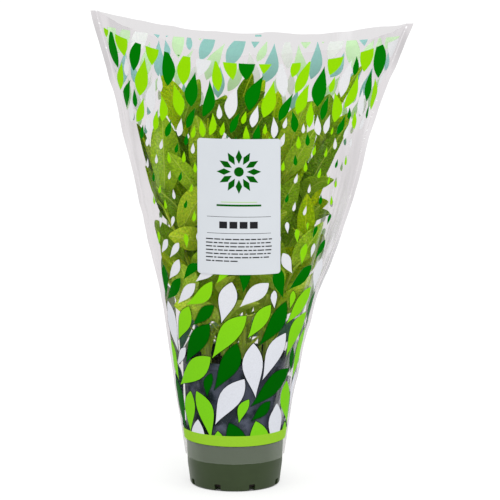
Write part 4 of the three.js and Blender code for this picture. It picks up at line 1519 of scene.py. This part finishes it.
def tone_and_painted_light_of(leaf, chance):
    """A leaf's number for its colour: a random chance, kept low deep inside the plant as painted
    shade, and raised along the film, low down and on the right as painted light.
    """
    x, y, z = leaf_probes(leaf).mean(axis=0)
    open_air = smooth_step(abs(y) / section_at(z)[3], 0.1, 0.6)
    # Painted shade deep inside the plant, and painted light along the film, low down and on the
    # right.
    light = chance * mix(0.2, 1, open_air) + 0.6 * smooth_step(-z, -235, -185)
    return float(min(light + 0.15 * smooth_step(x, 30, 70), 1))


def make_sage():
    materials = [
        leaf_material(
            "sage_top", (0.285, 0.560, 0.002), (0.450, 0.690, 0.003),
            (0.055, 0.170, 0.001), (0.58, 0.77, 0.006), (0.62, 0.76, 0.03), -1.0,
        ),
        leaf_material(
            "sage_under", (0.290, 0.580, 0.012), (0.400, 0.670, 0.025),
            (0.090, 0.250, 0.006), (0.54, 0.76, 0.03), (0.60, 0.78, 0.10), 1.0,
        ),
        stem_material(),
    ]
    grown, joints = grow_leaves()
    young = small_leaves(joints)
    rng = np.random.default_rng(31)
    tones_and_painted_light = [tone_and_painted_light_of(leaf, mix(0.2, 0.95, rng.random())) for leaf in grown]
    tones_and_painted_light[0] = 0.05
    tones_and_painted_light += [mix(0.5, 1, rng.random()) for _ in young]
    for stem in range(len(STEMS)):
        pile = Pile()
        pile.add(*fine_stem(stem, joints))
        for leaf, tone_and_painted_light in zip(grown + young, tones_and_painted_light):
            if leaf["stem"] == stem:
                pile.add(*fine_leaf(leaf), tone_and_painted_light=tone_and_painted_light)
        piece = pile.build(f"leafy_stem_{stem + 1:02d}", materials, sharp=62)
        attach(piece, "root")
        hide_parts(f"sage_stem_{stem + 1:02d}")


# The studio

FLOOR_REACH = 60000
FLOOR_HEIGHT = -0.5
SOFTBOX_WIDTH = 0.35
SOFTBOX_LENGTH = 1.3


def make_floor():
    floor = box_shape(-FLOOR_REACH, -FLOOR_REACH, 2 * FLOOR_REACH, 2 * FLOOR_REACH)
    corners = [(x, y, FLOOR_HEIGHT) for x, y in floor]
    make_object("studio_floor", corners, [[0, 1, 2, 3]], [floor_material()])


def add_softbox(name, place, power):
    light = bpy.data.lights.new(name, "AREA")
    light.shape = "RECTANGLE"
    light.size = SOFTBOX_WIDTH
    light.size_y = SOFTBOX_LENGTH
    light.energy = power
    add_object(name, light, place, Vector(place) - Vector(VIEW_MIDDLE) * MM)


def light_studio():
    scene = bpy.context.scene
    scene.view_settings.view_transform = "Standard"
    scene.world = bpy.data.worlds.new("studio")
    scene.world.use_nodes = True
    background = scene.world.node_tree.nodes["Background"]
    background.inputs[0].default_value = (1, 1, 1, 1)
    sun = bpy.data.lights.new("window_light", "SUN")
    sun.energy = 0.55
    sun.angle = math.radians(35)
    add_object("window_light", sun, back=(0.12, -0.9, 0.75))
    add_softbox("left_softbox", (-1.3, -1.3, 0.9), 2)
    add_softbox("right_softbox", (1.5, -1.0, 0.8), 3)


place_camera()
make_floor()
light_studio()
make_pot()
make_soil()
make_sage()
make_sleeve()
make_label()
